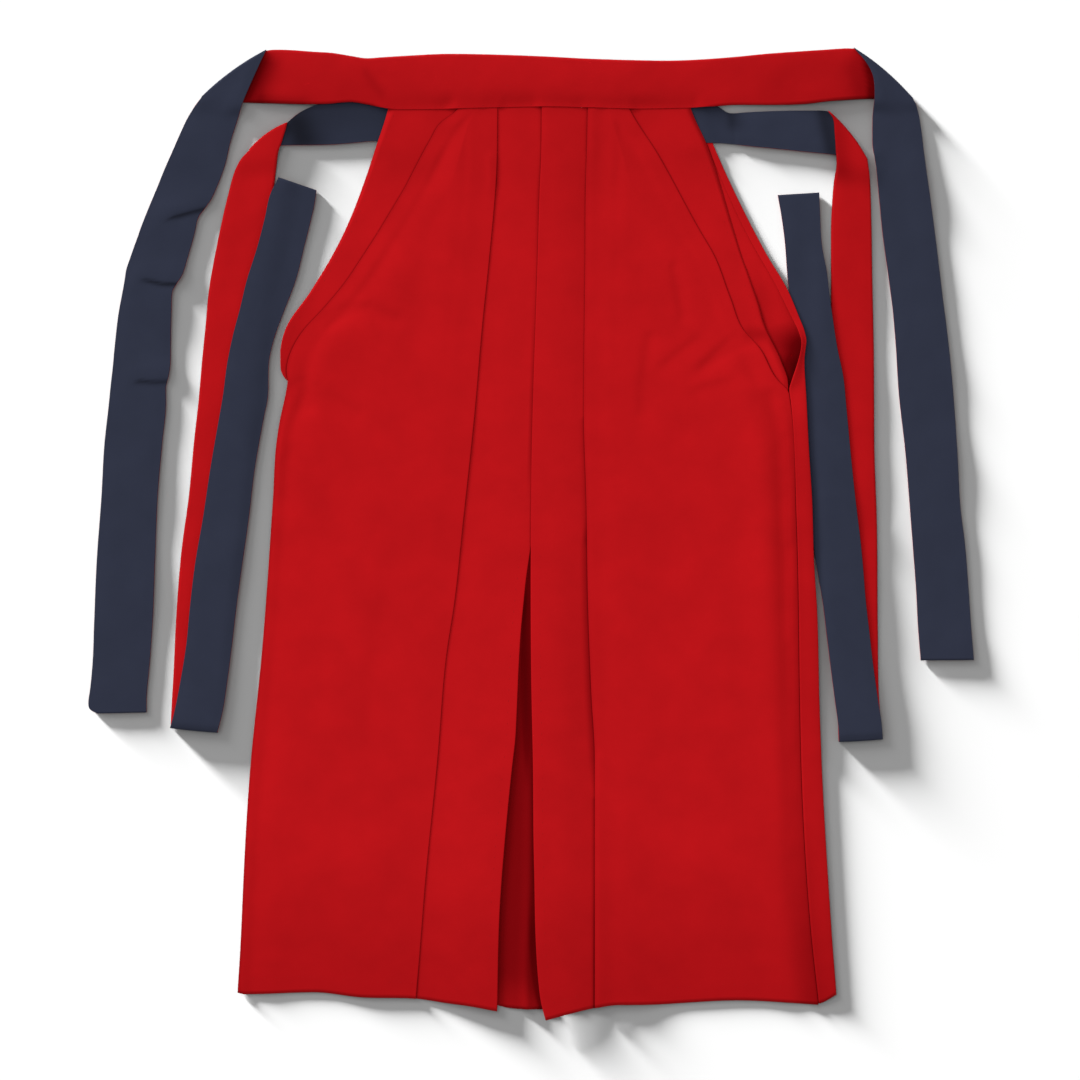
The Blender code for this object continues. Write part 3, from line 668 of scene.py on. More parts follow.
TIE_BUCKLES = [
    (-1.5, 2.6, [(207, 209), (190, 213), (171, 219)]), (1.2, 7, [(210, 199), (170, 210)]),
    (-1.4, 2.6, [(180, 285), (162, 285), (145, 281)]), (1.2, 7, [(184, 275), (144, 271)]),
    (-1.2, 2.6, [(168, 382), (154, 383), (138, 382)]), (1.1, 7, [(171, 372), (136, 372)]),
    (-0.9, 4.0, [(730, 111), (732, 119), (731, 130)]), (0.9, 8, [(722, 108), (725, 140)]),
    (-0.4, 4.0, [(803, 491), (850, 489)]), (0.4, 8, [(800, 501), (850, 499)]),
    (-0.7, 5.0, [(366, 70), (373, 82), (382, 96)]), (0.6, 10, [(350, 66), (366, 98)]),
    (-1.4, 9.0, [(262, 58), (248, 98)]), (-1.2, 8.0, [(862, 60), (870, 94)]),
    (0.7, 14.0, [(840, 122), (850, 190)]), (-0.5, 8.0, [(250, 70), (215, 112)]),
    (-0.5, 8.0, [(880, 66), (912, 112)]),
]


def strip_loft(run, height, seed):
    field = waves(run, height, seed) + creases(run["x"], run["y"], TIE_BUCKLES)
    return above_zero(field, 0.3)


print("ties:", len(TIE_BUCKLES), "buckles")

# %% [markdown]
# ## Laying up
# Now everything is laid in the order in which the garment lies: the back strip's lower cloth, the
# back ties with their folds, the back of the legs, the back waistband's upper cloth, the front
# waistband's lining, the front of the legs layer by layer, and last the front strip's face with
# its ties. The edge of the right back comes after the front, and turns over onto it.

# %% Back strip below the legs
TIE_REACH, LOOSE_TIE_REACH, LINING_REACH = 5.0, 8.0, 10.0
LEGS_START, LEGS_END = 396.0, 736.0  # between these the back is sewn into the waistband
INTERLINING = 1.1  # stiffening between the two cloths of a tie, mm

lay_run(back_band, "low", TIE_REACH, 0.2 * strip_loft(back_band, 0.6, 1))
band_middle = back_band["x"].mean(axis=1)
first = np.searchsorted(band_middle, LEGS_START, "right")
last = np.searchsorted(band_middle, LEGS_END)
left_rows, zone_rows, right_rows = slice(0, first), slice(first, last), slice(last, None)
stiff = INTERLINING * (ease(band_middle, LEGS_START, 372) + ease(band_middle, LEGS_END, 764))
loft = stiff[:, None] + pillow(0.5) + 0.8 * strip_loft(back_band, 0.6, 1)
for rows in (left_rows, right_rows):
    lay_run(back_band, "high", TIE_REACH, loft, rows)
for number, run in enumerate((back_left_hang, back_right_hang, back_left_return,
                              back_right_return)):
    wave = strip_loft(run, 0.7, 10 + number)
    lay_run(run, "low", LOOSE_TIE_REACH, 0.5 * wave)
    lay_run(run, "high", LOOSE_TIE_REACH, INTERLINING + pillow(0.4) + 0.5 * wave)
tell_height("back ties")

# %% Back of the legs
LEG_REACH = 11.0
FOLD_PULL = 0.6  # bulge of a pressed fold, mm
WRAP_START = 1.6  # the right back starts to turn over this far in
RETURN_SHORTER = 1.5  # a turned-under edge is this much shorter at the hem, mm
# the left back stands up in a low ridge where the slit shows it
SLIT_RIDGE = [(541, 530), (800, 530), (900, 528.5), (970, 526), (1010, 527)]
RIDGE_HEIGHT, RIDGE_WIDTH = 2.2, 5.0

above_base = ease(LEG_ROWS, OPENING_BASE + 10, OPENING_BASE - 60)
slit_open = ease(LEG_ROWS, 541, 640)
left_fold = mix(rows_of(CENTRE_LINE) - 0.5, rows_of(RIGHT_SLIT) + 5.0, slit_open)
right_fold = left_fold + mix(1.3, -4.0, slit_open)
back_left_edge = rows_of(LEFT_EDGE) + 20.0 * above_base + 0.8
back_right_edge = rows_of(BACK_RIGHT_EDGE) - WRAP_START
# finer beyond this line, where the right side opening shows the back
shown_from = np.minimum(rows_of(BACK_RIGHT_EDGE) - 60, rows_of(RIGHT_EDGE) - 12)
backs = {
    "right": layer_grid([right_fold + FOLD_PULL, shown_from, back_right_edge], [18, 26], BACK_HEM),
    "right_return": layer_grid([right_fold + RETURN_WIDTH, right_fold + FOLD_PULL], [8], BACK_HEM,
                               RETURN_SHORTER),
    "left_return": layer_grid([left_fold - RETURN_WIDTH, left_fold - FOLD_PULL], [8], BACK_HEM,
                              RETURN_SHORTER),
    "left": layer_grid([left_fold - FOLD_PULL, left_fold - 56, back_left_edge], [34, 16],
                       BACK_HEM),
}
x, y = backs["left"]
ridge = RIDGE_HEIGHT * hump(x, soft_line(SLIT_RIDGE, y), RIDGE_WIDTH) * ease(y, 640, 860)
back_heights = {layer: lay(*grid, LEG_CLOTH, LEG_REACH, ridge if layer == "left" else 0.0)
                for layer, grid in backs.items()}
tell_height("back")

# %% Upper cloth of the back waistband and lower cloth of the front one
over_turned_edge = 0.7 * hump(back_band["x"], 706.0, 14.0)
lay_run(back_band, "high", TIE_REACH, pillow(0.4) + over_turned_edge, zone_rows,
        (LEGS_START, LEGS_END))

front_wave = strip_loft(front_band, 0.5, 30)
# the stiff band's free edge stands off the table
stand = span(front_band["x"], 300, 390, 690, 770) * (1 - ACROSS) ** 1.5
lay_run(front_band, "low", LINING_REACH, 0.3 * front_wave + 1.8 * stand)
tell_height("waistbands")

# %% Creases of the front of the legs
LEFT_CREASES = [
    (-1.1, 4.5, [(322, 322), (342, 311), (368, 308), (394, 319)]),
    (0.5, 10, [(340, 332), (384, 338)]), (-1.3, 5, [(299, 386), (305, 402)]),
    (-0.9, 5, [(316, 389), (333, 401), (354, 413)]),
    (0.6, 9, [(304, 418), (334, 428)]), (-0.8, 5, [(294, 451), (311, 466)]),
    (-0.7, 14, [(396, 560), (382, 640), (370, 725)]), (0.4, 20, [(352, 560), (340, 700)]),
    (-0.6, 22, [(280, 935), (400, 940)]), (-0.4, 12, [(436, 215), (418, 300), (412, 360)]),
    (0.4, 18, [(452, 420), (440, 520)]), (-0.3, 14, [(334, 480), (324, 570)]),
    (0.4, 20, [(300, 640), (288, 800)]), (0.5, 4, [(491, 158), (491, 186)]),
    (-0.3, 16, [(405, 800), (396, 900)]), (0.4, 5, [(432, 850), (417, 1008)]),
]
RIGHT_CREASES = [
    (-1.3, 6, [(748, 333), (728, 346), (705, 366)]),
    (0.6, 8, [(744, 352), (722, 366), (704, 380)]), (-0.5, 5, [(729, 382), (698, 391)]),
    (-0.6, 5, [(694, 342), (680, 353), (664, 366)]),
    (-0.8, 4, [(674, 266), (679, 290), (683, 314)]),
    (-0.7, 5, [(650, 338), (645, 374), (642, 412)]),
    (-1.2, 8, [(786, 450), (790, 560), (792, 700), (797, 840)]),
    (-1.5, 9, [(797, 840), (800, 905), (803, 970), (808, 1000)]),
    (-0.3, 20, [(684, 430), (672, 560)]),
    (0.3, 26, [(700, 620), (706, 780)]), (-0.5, 20, [(640, 910), (730, 935)]),
    (0.3, 16, [(620, 640), (618, 820)]), (0.4, 4, [(592, 112), (592, 150)]),
    (-0.3, 12, [(612, 200), (622, 300)]), (-0.7, 5, [(758, 300), (770, 342)]),
    (0.5, 5, [(599, 760), (599, 1008)]),
]
STRIP_CREASES = [
    (-0.3, 10, [(474, 460), (459, 700)]), (0.3, 12, [(508, 300), (500, 420)]),
    (0.4, 4, [(546, 110), (546, 142)]), (-0.3, 10, [(578, 300), (580, 520)]),
    (0.5, 8, [(380, 250), (352, 290)]), (-0.3, 8, [(396, 180), (372, 234)]),
    (-0.7, 4, [(720, 200), (738, 262)]), (0.6, 5, [(730, 190), (750, 268)]),
]

print("fronts:", len(LEFT_CREASES + RIGHT_CREASES + STRIP_CREASES), "creases")

# %% [markdown]
# ## The front of a leg
# Seen from the centre outwards, a front is folded like this: a turned-under edge along the
# centre, the centre strip, the main pleat (under the panel and back out again), the wide panel,
# the slanted pleat, and the strip that ends at the side opening. The two fronts are mirrored in
# how they fold, though not in their lines, so one function makes both. Both centre strips are
# laid before the pleats, the left one first, because the right one laps over it.

# %% Grids of the two fronts
PAST_SLIT, BEFORE_PLEAT, PAST_PLEAT, NEAR_SIDE = 5.0, 9.0, 2.0, 6.0  # extra lines beside folds


def front_grids(lines):
    outward, hem = lines["outward"], lines["hem"]
    slit, pleat, side, edge = (rows_of(lines[name]) for name in ("slit", "pleat", "side", "edge"))
    pull = outward * FOLD_PULL
    pleat_end = pleat + outward * PLEAT_DEPTH
    side_end = side - outward * SIDE_DEPTH
    strip_width = outward * (edge - side_end)
    before_fold = side_end + outward * np.minimum(11.0, 0.35 * strip_width)
    past_fold = side_end + outward * np.minimum(16.5, 0.7 * strip_width)
    layers = {
        # lines from one end of the layer to the other, steps between them, how much shorter
        "return": ([slit + outward * RETURN_WIDTH, slit + pull], [8], 1.2),
        "strip": ([slit + pull, slit + outward * PAST_SLIT, pleat - outward * BEFORE_PLEAT,
                   pleat + outward * PAST_PLEAT, pleat_end - pull], [4, 12, 9, 3], 0.0),
        "under": ([pleat_end - pull, pleat + pull], [6], 0.8),
        "panel": ([pleat + pull, pleat + outward * NEAR_SIDE, side - outward * NEAR_SIDE,
                   side - pull], [4, 48, 4], 0.0),
        "side_under": ([side - pull, side_end + pull], [4], 0.8),
        "side_strip": ([side_end + pull, before_fold, past_fold, edge], [3, 6, 9], 0.8),
    }
    return {name: layer_grid(lines, steps, hem, shorter)
            for name, (lines, steps, shorter) in layers.items()}


fronts = {side: front_grids(lines) for side, lines in SIDES.items()}
print("a front has", len(fronts["left"]), "layers")

# %% Lay the fronts
FRONT_REACH = {"return": 26.0, "strip": 26.0, "side_strip": 12.0, "under": PRESSED_REACH,
               "side_under": PRESSED_REACH, "panel": 28.0}
LAID_TOGETHER = (("return", "strip"), ("side_strip",), ("under", "side_under"), ("panel",))
SLIT_LIFT = {"left": 0.7, "right": 1.1}  # the edges of the slit stand up a little, mm
PANEL_CREASES = {"left": LEFT_CREASES, "right": RIGHT_CREASES}
SWELL = 2.0  # a panel's middle stands this far off its pleats, mm


def front_loft(side, layer, x, y):
    """How far a layer stands off what lies below it, in mm."""
    slit = soft_line(SIDES[side]["slit"], y)
    along_slit = SLIT_LIFT[side] * ease(y, 545, 660) * hump(x, slit, 16.0)
    if layer == "return":
        return along_slit
    if layer == "strip":
        return 0.3 * along_slit + above_zero(0.1 + 1.3 * creases(x, y, STRIP_CREASES), 0.2)
    if layer == "side_strip":
        return above_zero(0.02 + 1.3 * creases(x, y, STRIP_CREASES), 0.08)
    if layer == "panel":
        across = (x - x[:, :1]) / (x[:, -1:] - x[:, :1])
        swell = SWELL * np.sin(math.pi * across) ** 1.2 * span(y, 110, 260, 860, 1040)
        return above_zero(0.1 + swell + 1.4 * creases(x, y, PANEL_CREASES[side]), 0.25)
    return 0.0


heights = {"left": {}, "right": {}}
for together in LAID_TOGETHER:
    for side in SIDES:
        for layer in together:
            x, y = fronts[side][layer]
            firm = None
            if layer == "panel":
                firm = ease(np.minimum(abs(x - x[:, :1]), abs(x - x[:, -1:])), 2, 44)
            loft = front_loft(side, layer, x, y)
            heights[side][layer] = lay(x, y, LEG_CLOTH, FRONT_REACH[layer], loft, firm=firm)
tell_height("fronts")

# %% The right back's turned-over edge
WRAP_STEPS = 9
RIM_RISE = [(94, 0.45), (134, 0.45), (160, 1.0), (290, 1.2), (320, 2.4), (340, 5.2), (352, 6.4),
            (372, 6.0), (386, 4.2), (1008, 3.0)]
RIM_AT_FOLD = 2.6  # most that the fold itself rises, mm
SMOOTHING = np.array([1, 2, 3, 4, 3, 2, 1]) / 16.0  # evens the edge out down the leg

wrap_end = rows_of(WRAP_END)
wrap = layer_grid([back_right_edge, wrap_end], [WRAP_STEPS], BACK_HEM)
edge_height = back_heights["right"][:, -1]
rim = soft_line(RIM_RISE, LEG_ROWS)
seam_height = heights["right"]["panel"][:, -1] - 0.15
inner = np.where(LEG_ROWS < OPENING_BASE, edge_height + rim, seam_height)
inner = np.convolve(np.pad(inner, 3, mode="edge"), SMOOTHING, mode="valid")
outer = edge_height + np.minimum(rim * 0.8, RIM_AT_FOLD)
share = np.linspace(0, 1, WRAP_STEPS + 1)
crown = 0.2 * np.sin(math.pi * share) * ease(LEG_ROWS, 380, 420)[:, None]
height_wrap = mix(outer[:, None], inner[:, None], ease(share, 0, 1)) + crown
add_to_pile(*wrap, height_wrap + LEG_CLOTH / 2)
tell_height("right edge")

# %% Front strip's face and the front ties
BAND_REACH = 24.0
# the face's lower edge is sewn down on the pleats
felled = span(front_band["x"], 380, 398, 692, 704) * ease(ACROSS, 0.66, 0.97)
loft = (INTERLINING + 0.7 * front_wave) * (1 - felled) + pillow(0.5) + 0.8 * stand
lay_run(front_band, "high", BAND_REACH, loft, firm=1 - felled)
for number, run in enumerate((front_left_hang, front_right_hang)):
    wave = strip_loft(run, 0.8, 40 + number)
    lay_run(run, "low", TIE_REACH, 0.5 * wave)
    lay_run(run, "high", TIE_REACH, INTERLINING + pillow(0.4) + 0.5 * wave)
tell_height("everything")

# %% [markdown]
# ## Shade in the pleats
# Laid cloth is darkest where it goes in under other cloth. The renderer finds most of that by
# itself, but the real gaps are narrower than a grid can follow, so their shade is painted into the
# colour: each point carries a "painted_shade" value, worked out from its distance to the lines: 1
# wherever the cloth is hidden, and up to the fold line over 2 or 3 mm, like the thin shade beside
# a real pleat.

# %% Shade in the openings
def deep_in_slit(x, y):
    """Shade on the back between the two edges of the slit, below the crotch."""
    left, right = soft_line(LEFT_SLIT, y), soft_line(RIGHT_SLIT, y)
    shade = 0.8 + 0.25 * ease(y, 640, 560)
    shade = shade + 0.5 * hump(x, right - 6, 4.0) * span(y, 575, 610, 700, 800)
    shade = shade + 0.3 * ease(right - x, 9, 4) * ease(y, 880, 960)
    shade = shade - 0.25 * ease(y, 970, 1005) * ease(right - x, 6, 14)
    return shade * ease(x, left - 2, left + 2) * ease(y, 545, 556)


def deep_in_opening(x, y):
    """Shade in the mouth of the right side opening, above its base."""
    front, rim_line = soft_line(RIGHT_EDGE, y), soft_line(WRAP_END, y)
    between = span(x, front - 4, front + 1, rim_line - 1, rim_line + 5)
    across = np.clip((x - front) / (rim_line - front), 0, 1)
    shade = mix(0.5, 0.85, ease(y, 350, 368)) + 0.8 * across
    beside = 0.3 * ease(x - front, 9, 0) * span(y, 270, 300, 330, 345)
    return np.maximum(beside, between * shade * span(y, 310, 350, 390, 402))


def above_opening(x, y):
    """Shade of the dip that runs from the opening's mouth to the slanted pleat."""
    dip = 0.34 * hump(y, 334, 7.5) * span(x, 738, 750, 796, 806)
    beside = mix(0.2, 0.4, ease(y, 325, 345)) * span(y, 270, 300, 384, 392)
    return np.maximum(dip, beside * ease(soft_line(RIGHT_EDGE, y) - x, 7, 0.5))


def painted_waist_and_hem_shade(x, y):
    """Painted shade: the colour is a little darker under the waistband and towards the hem."""
    return 0.07 * ease(y, 260, 130) + 0.24 * ease(y, 830, 1000) + 0.08 * ease(y, 118, 108)


# %% Shade beside the folds of a front
STRIP_GAPS = [
    (0.4, 1.6, [(494.5, 160), (494, 183)]), (0.12, 1.4, [(586.5, 112), (585.5, 150)]),
    (0.25, 3.0, [(584, 420), (586, 540)]), (0.3, 1.8, [(594, 800), (594, 1008)]),
    (0.1, 1.3, [(540.6, 104), (540.6, 140)]),
]
FOLD_FACE = 1.6  # half the rounding of a fold that faces the light, mm
# shade beside the slanted pleat, beside the main pleat, and in the slanted pleat's gap
BESIDE = {"left": (0.25, 0.0, 0.65), "right": (0.12, 0.15, 0.4)}


def strip_shade(side, outward, x, y, pleat):
    """Shade of a centre strip: beside its pleat and beside the centre line."""
    past = outward * (x - pleat)
    if side == "left":
        near, line, width = 0.04, 0.5 * ease(y, 930, 1000), 4.0
        centre = soft_line(CENTRE_LINE, y)
        beside_centre = 0.5 * ease(x, centre - 2.0, centre - 0.2) * ease(y, 552, 540)
    else:
        loose = span(y, 510, 555, 740, 820)
        near, line = mix(0.1, 0.55, loose), mix(0.35, 1.2, ease(y, 850, 990))
        width = mix(2.5, 9.0, loose)
        beside_centre = 0.0
    shade = near * ease(past / width, -1.0, 0.0) + line * ease(past, -1.8, 0.6)
    shade = shade + ease(past, 1.0, 4.0) + creases(x, y, STRIP_GAPS) + painted_waist_and_hem_shade(x, y)
    return np.clip(shade + beside_centre, 0.0, 1.5)


def front_shades(side):
    """The layers of a front that show, with their shade."""
    outward, grids = SIDES[side]["outward"], fronts[side]
    pleat, side_line = (rows_of(SIDES[side][line])[:, None] for line in ("pleat", "side"))
    beside_side, beside_pleat, gap = BESIDE[side]
    x, y = grids["panel"]
    panel = (painted_waist_and_hem_shade(x, y) + beside_side * hump(x, side_line, FOLD_FACE)
             + beside_pleat * hump(x, pleat, FOLD_FACE))
    edge_x, edge_y = grids["side_strip"]
    past = outward * (edge_x - side_line)
    edge = np.maximum(ease(past, 2.4, 0.2) * gap + ease(past, 0.0, -2.0), painted_waist_and_hem_shade(edge_x, edge_y))
    if side == "right":
        from_seam = ease(side_line - x, 30, 4) * ease(y, 395, 440)
        panel = panel + from_seam * mix(0.3, 0.36, ease(y, 700, 950))
        panel = np.maximum(panel, 0.8 * above_opening(x, y))
        edge = np.maximum(edge, above_opening(edge_x, edge_y))
    return {"strip": strip_shade(side, outward, *grids["strip"], pleat), "panel": panel,
            "side_strip": edge}


# %% [markdown]
# ## Making the legs' pieces
# A leg's front and back are each one cut. Its layers are side by side in the grid, with a half
# turn between each two, so the sheet really goes through every pleat, as the cloth does.

# %% Join layers and folds into one piece
HIDDEN = np.ones((len(LEG_ROWS), 1))


def assemble(name, parts, outward):
    """parts: (x, y, height, painted shade) per layer. outward: side of the first fold; they
    alternate.
    """
    grids, shades = [], []
    for x, y, height, painted_shade in parts:
        points = place(x, y, height)
        if grids:
            grids.append(half_turn(grids[-1][:, -1], points[:, 0], (outward, 0), FOLD_PULL))
            shades.append(mix(shades[-1][:, -1:], painted_shade[:, :1], np.linspace(0, 1, FOLD_STEPS)))
            outward = -outward
        grids.append(points)
        shades.append(painted_shade * np.ones(x.shape))
    points = np.concatenate(grids, axis=1)
    down = np.broadcast_to(LEG_ROWS[:, None], points.shape[:2])
    uv = np.stack([cloth_lengths(points, 1), down], axis=-1)
    return cloth(name, points, LEG_CLOTH, uv, np.concatenate(shades, axis=1), red_twill)


pieces = {}
for side, lines in SIDES.items():
    shades = front_shades(side)
    parts = [(*grid, heights[side][layer], shades.get(layer, HIDDEN))
             for layer, grid in fronts[side].items()]
    pieces["front", side] = assemble(f"cloth_front_{side}", parts, -lines["outward"])

# %% The two backs
hidden_return = {side: (*backs[f"{side}_return"], back_heights[f"{side}_return"], HIDDEN)
                 for side in SIDES}
shade = deep_in_slit(*backs["left"])
parts = [hidden_return["left"], (*backs["left"], back_heights["left"], shade)]
pieces["back", "left"] = assemble("cloth_back_left", parts, +1)

shade = np.maximum.reduce([shaded(*backs["right"])
                           for shaded in (deep_in_slit, deep_in_opening, above_opening)])
x, y = wrap
past_seam = 1 - np.clip((x - wrap_end[:, None]) / 14.0, 0, 1)
wrap_shade = (painted_waist_and_hem_shade(x, y) + mix(0.22, 0.16, ease(y, 700, 850)) * ease(y, 395, 440)
              + 0.12 * past_seam * ease(y, 760, 900))
parts = [hidden_return["right"], (*backs["right"], back_heights["right"], shade),
         (x, y, height_wrap, wrap_shade)]
pieces["back", "right"] = assemble("cloth_back_right", parts, -1)

# %% [markdown]
# ## Making the strips' pieces
# The face and the lining are two pieces that lie against each other. One thick mesh would be
# simpler, but it would have no seam. At each fold they swap: the cloth that was below goes round
# the outside and comes out on top. The red face rolls over the interlining's edge and meets the
# navy lining, which covers it by a hair.

# %% Edges of a strip
NAVY_OVERHANG = 0.1  # mm beyond the red at each edge
MOST_ROLL = 7.0  # most that the face's edge reaches for the lining, mm


def widen(points, amount, rise):
    """Move a cloth's two long edges outwards by amount, and up by rise (rows x 2), in mm."""
    across = unit(points[:, -1] - points[:, 0])
    profile = ease(np.minimum(ACROSS, 1 - ACROSS), 0.03, 0.0)
    far = ACROSS > 0.5
    outward = profile * np.where(far, amount, -amount) * MM
    moved = points + across[:, None] * outward[:, None]
    moved[..., 2] += profile ** 2 * np.where(far, rise[:, 1:], rise[:, :1]) * MM
    return moved


def roll_over(run, low):
    """How far the red face's edges roll over the interlining to meet the navy lining."""
    gap = np.clip((run["high"] - run["low"])[:, [0, -1]] - STRIP_CLOTH - 0.1, 0.0, MOST_ROLL)
    x = run["x"][:, [0, -1]]
    if run is front_band:
        gap[:, 1] *= 1 - span(x[:, 1], 368, 386, 704, 720)
    if run is back_band:
        gap *= 1 - span(x, 325, 348, 728, 748)
    return gap if low else -gap


# %% Join runs and folds into the two cloths of a strip
def strip_piece(name, runs, is_face, shades, material):
    """runs in order along the strip, with a fold between each two."""
    low, parts, tones = is_face, [], []
    for run in runs:
        points = place(run["x"], run["y"], run["low" if low else "high"])
        if is_face:
            points = widen(points, 0.0, roll_over(run, low))
        else:
            points = widen(points, NAVY_OVERHANG, np.zeros((len(points), 2)))
        # tone: painted shade at the strip's folds, ends and crossings
        tone = np.clip(creases(run["x"], run["y"], shades), 0.0, 1.3)
        if parts:
            upward = points[0, :, 2].mean() > parts[-1][-1, :, 2].mean()
            thinner = 0.0 if low != upward else STRIP_CLOTH + AIR * 0.6
            radius = CORNER_RADIUS + (FOLD_RADIUS - CORNER_RADIUS - thinner) * FOLD_SHAPE
            fold = half_turn(parts[-1][-1], points[0], away_from(run["rungs"], 0, 1), radius)
            parts.append(fold.swapaxes(0, 1))
            tones.append(mix(tones[-1][-1], tone[0], np.linspace(0, 1, FOLD_STEPS)[:, None]))
        parts.append(points)
        tones.append(tone)
        low = not low
    points = np.concatenate(parts, axis=0)
    width = np.linalg.norm(points[:, -1] - points[:, 0], axis=-1).mean() / MM
    across = np.broadcast_to(ACROSS * width, points.shape[:2])
    uv = np.stack([across, cloth_lengths(points, 0)], axis=-1)
    return cloth(name, points, STRIP_CLOTH, uv, np.concatenate(tones, axis=0), material)


# %% Shade at the strips' folds and crossings, and their four cloths
NAVY_SHADES = [
    (0.75, 10, [(290, 118), (300, 138)]), (0.35, 14, [(310, 114), (350, 108), (396, 108)]),
    (0.7, 6, [(823, 112), (831, 150)]), (0.5, 4.5, [(731, 112), (732, 121)]),
    (0.35, 6, [(700, 106), (716, 108)]),
    (0.8, 1.3, [(206, 208.5), (190, 212.5), (173, 217.5)]),
    (0.8, 1.3, [(179, 284), (162, 284), (146, 280)]),
    (0.7, 1.3, [(167, 381), (154, 382), (139, 381)]),
    (0.3, 3.0, [(217, 730), (172, 726)]), (0.3, 3.0, [(838, 738), (880, 736)]),
]
RED_SHADES = [
    (0.17, 40, [(270, 78), (860, 76)]), (0.1, 26, [(270, 78), (318, 80)]),
    (0.2, 26, [(790, 76), (850, 74)]),
    (0.75, 7, [(248, 98), (255, 80), (262, 62)]), (0.3, 5, [(262, 100), (300, 104)]),
    (0.6, 4, [(868, 62), (872, 80), (871, 98)]), (0.25, 12, [(857, 66), (862, 96)]),
    (0.15, 3, [(365, 72), (372, 82), (381, 94)]),
]
BACK_RED_SHADES = [
    (0.13, 50, [(858, 150), (870, 690)]), (0.4, 6, [(834, 118), (836, 150), (839, 168)]),
    (0.08, 50, [(216, 150), (190, 690)]),
]
FACE_SHADES = {"front": RED_SHADES, "back": BACK_RED_SHADES}
for end, runs in STRIPS.items():
    pieces[end, "face"] = strip_piece(f"cloth_{end}_strip_face", runs, True, FACE_SHADES[end],
                                      red_twill)
    pieces[end, "lining"] = strip_piece(f"cloth_{end}_strip_lining", runs, False, NAVY_SHADES,
                                        navy_twill)

# %% [markdown]
# ## Stitches
# The hems, the slit and the side openings are turned under and caught down by hand, and the
# waistband is felled to the pleats, all with thread dyed like the cloth: short, shallow stitches
# about a centimetre apart. They could be copied by an array along a curve, but a Geometry Nodes
# tree keeps their spacing and size as numbers that can be changed. It takes a seam as a chain of
# edges, puts points along it, and lays a small rounded stitch on each.

# %% A tree that sews along a seam
SHORTEST, LONGEST = 0.75, 1.1  # a hand's stitches against the given length


def sewing_tree(thread):
    tree = bpy.data.node_groups.new("sew_along", "GeometryNodeTree")
    for label, kind in (("Seam", "Geometry"), ("Spacing", "Float"), ("Length", "Float"),
                        ("Thickness", "Float"), ("Seed", "Int")):
        tree.interface.new_socket(label, in_out="INPUT", socket_type="NodeSocket" + kind)
    tree.interface.new_socket("Stitches", in_out="OUTPUT", socket_type="NodeSocketGeometry")
    given = add(tree, "NodeGroupInput")
    chain = add(tree, "GeometryNodeMeshToCurve", {"Mesh": given["Seam"]})["Curve"]
    spots = add(tree, "GeometryNodeCurveToPoints", {"Curve": chain, "Length": given["Spacing"]},
                mode="LENGTH")
    along = add(tree, "FunctionNodeAlignRotationToVector", {"Vector": spots["Tangent"]},
                axis="Z")["Rotation"]
    uneven = add(tree, "FunctionNodeRandomValue",
                 {"Min": SHORTEST, "Max": LONGEST, "Seed": given["Seed"]}, data_type="FLOAT")
    length = add(tree, "ShaderNodeMath", {0: given["Length"], 1: uneven["Value"]},
                 operation="MULTIPLY")[0]
    size = add(tree, "ShaderNodeCombineXYZ",
               {"X": given["Thickness"], "Y": given["Thickness"], "Z": length})[0]
    stitch = add(tree, "GeometryNodeMeshUVSphere", {"Segments": 8, "Rings": 6, "Radius": 0.5})
    stitches = add(tree, "GeometryNodeInstanceOnPoints", {
        "Points": spots["Points"], "Instance": stitch["Mesh"], "Rotation": along, "Scale": size})
    real = add(tree, "GeometryNodeRealizeInstances", {"Geometry": stitches["Instances"]})
    dyed = add(tree, "GeometryNodeSetMaterial", {"Geometry": real["Geometry"], "Material": thread})
    add(tree, "NodeGroupOutput", {"Stitches": dyed["Geometry"]})
    return tree


# %% Thread
def spun_thread(name, colour):
    material, tree, shader = new_material(name)
    where = add(tree, "ShaderNodeTexCoord")["Object"]
    fibre = add(tree, "ShaderNodeTexNoise", {"Vector": where, "Scale": 4000.0})["Fac"]
    bump = add(tree, "ShaderNodeBump", {"Height": fibre, "Distance": 0.00005})[0]
    fill(tree, shader, {"Base Color": (*colour, 1.0), "Roughness": 0.7,
                        "Specular IOR Level": 0.1, "Normal": bump})
    return material


red_thread = spun_thread("red_thread", (0.40, 0.006, 0.008))
print("thread:", red_thread.name)

# %% Sew a seam on the cloth
ABOVE_ALL = 0.05  # a height in metres that is clear of the whole pile
STITCH_POINTS = 42  # of the small sphere that a stitch is
evaluated = bpy.context.evaluated_depsgraph_get()
surfaces = [BVHTree.FromObject(piece, evaluated) for piece in pieces.values()]


def on_top(x, y):
    """The highest point of the cloth at a point of the board, in metres, or None."""
    start = Vector((*place(x, y, 0.0)[:2], ABOVE_ALL))
    hits = [surface.ray_cast(start, Vector((0, 0, -1)))[0] for surface in surfaces]
    return max((hit for hit in hits if hit), key=lambda hit: hit.z, default=None)


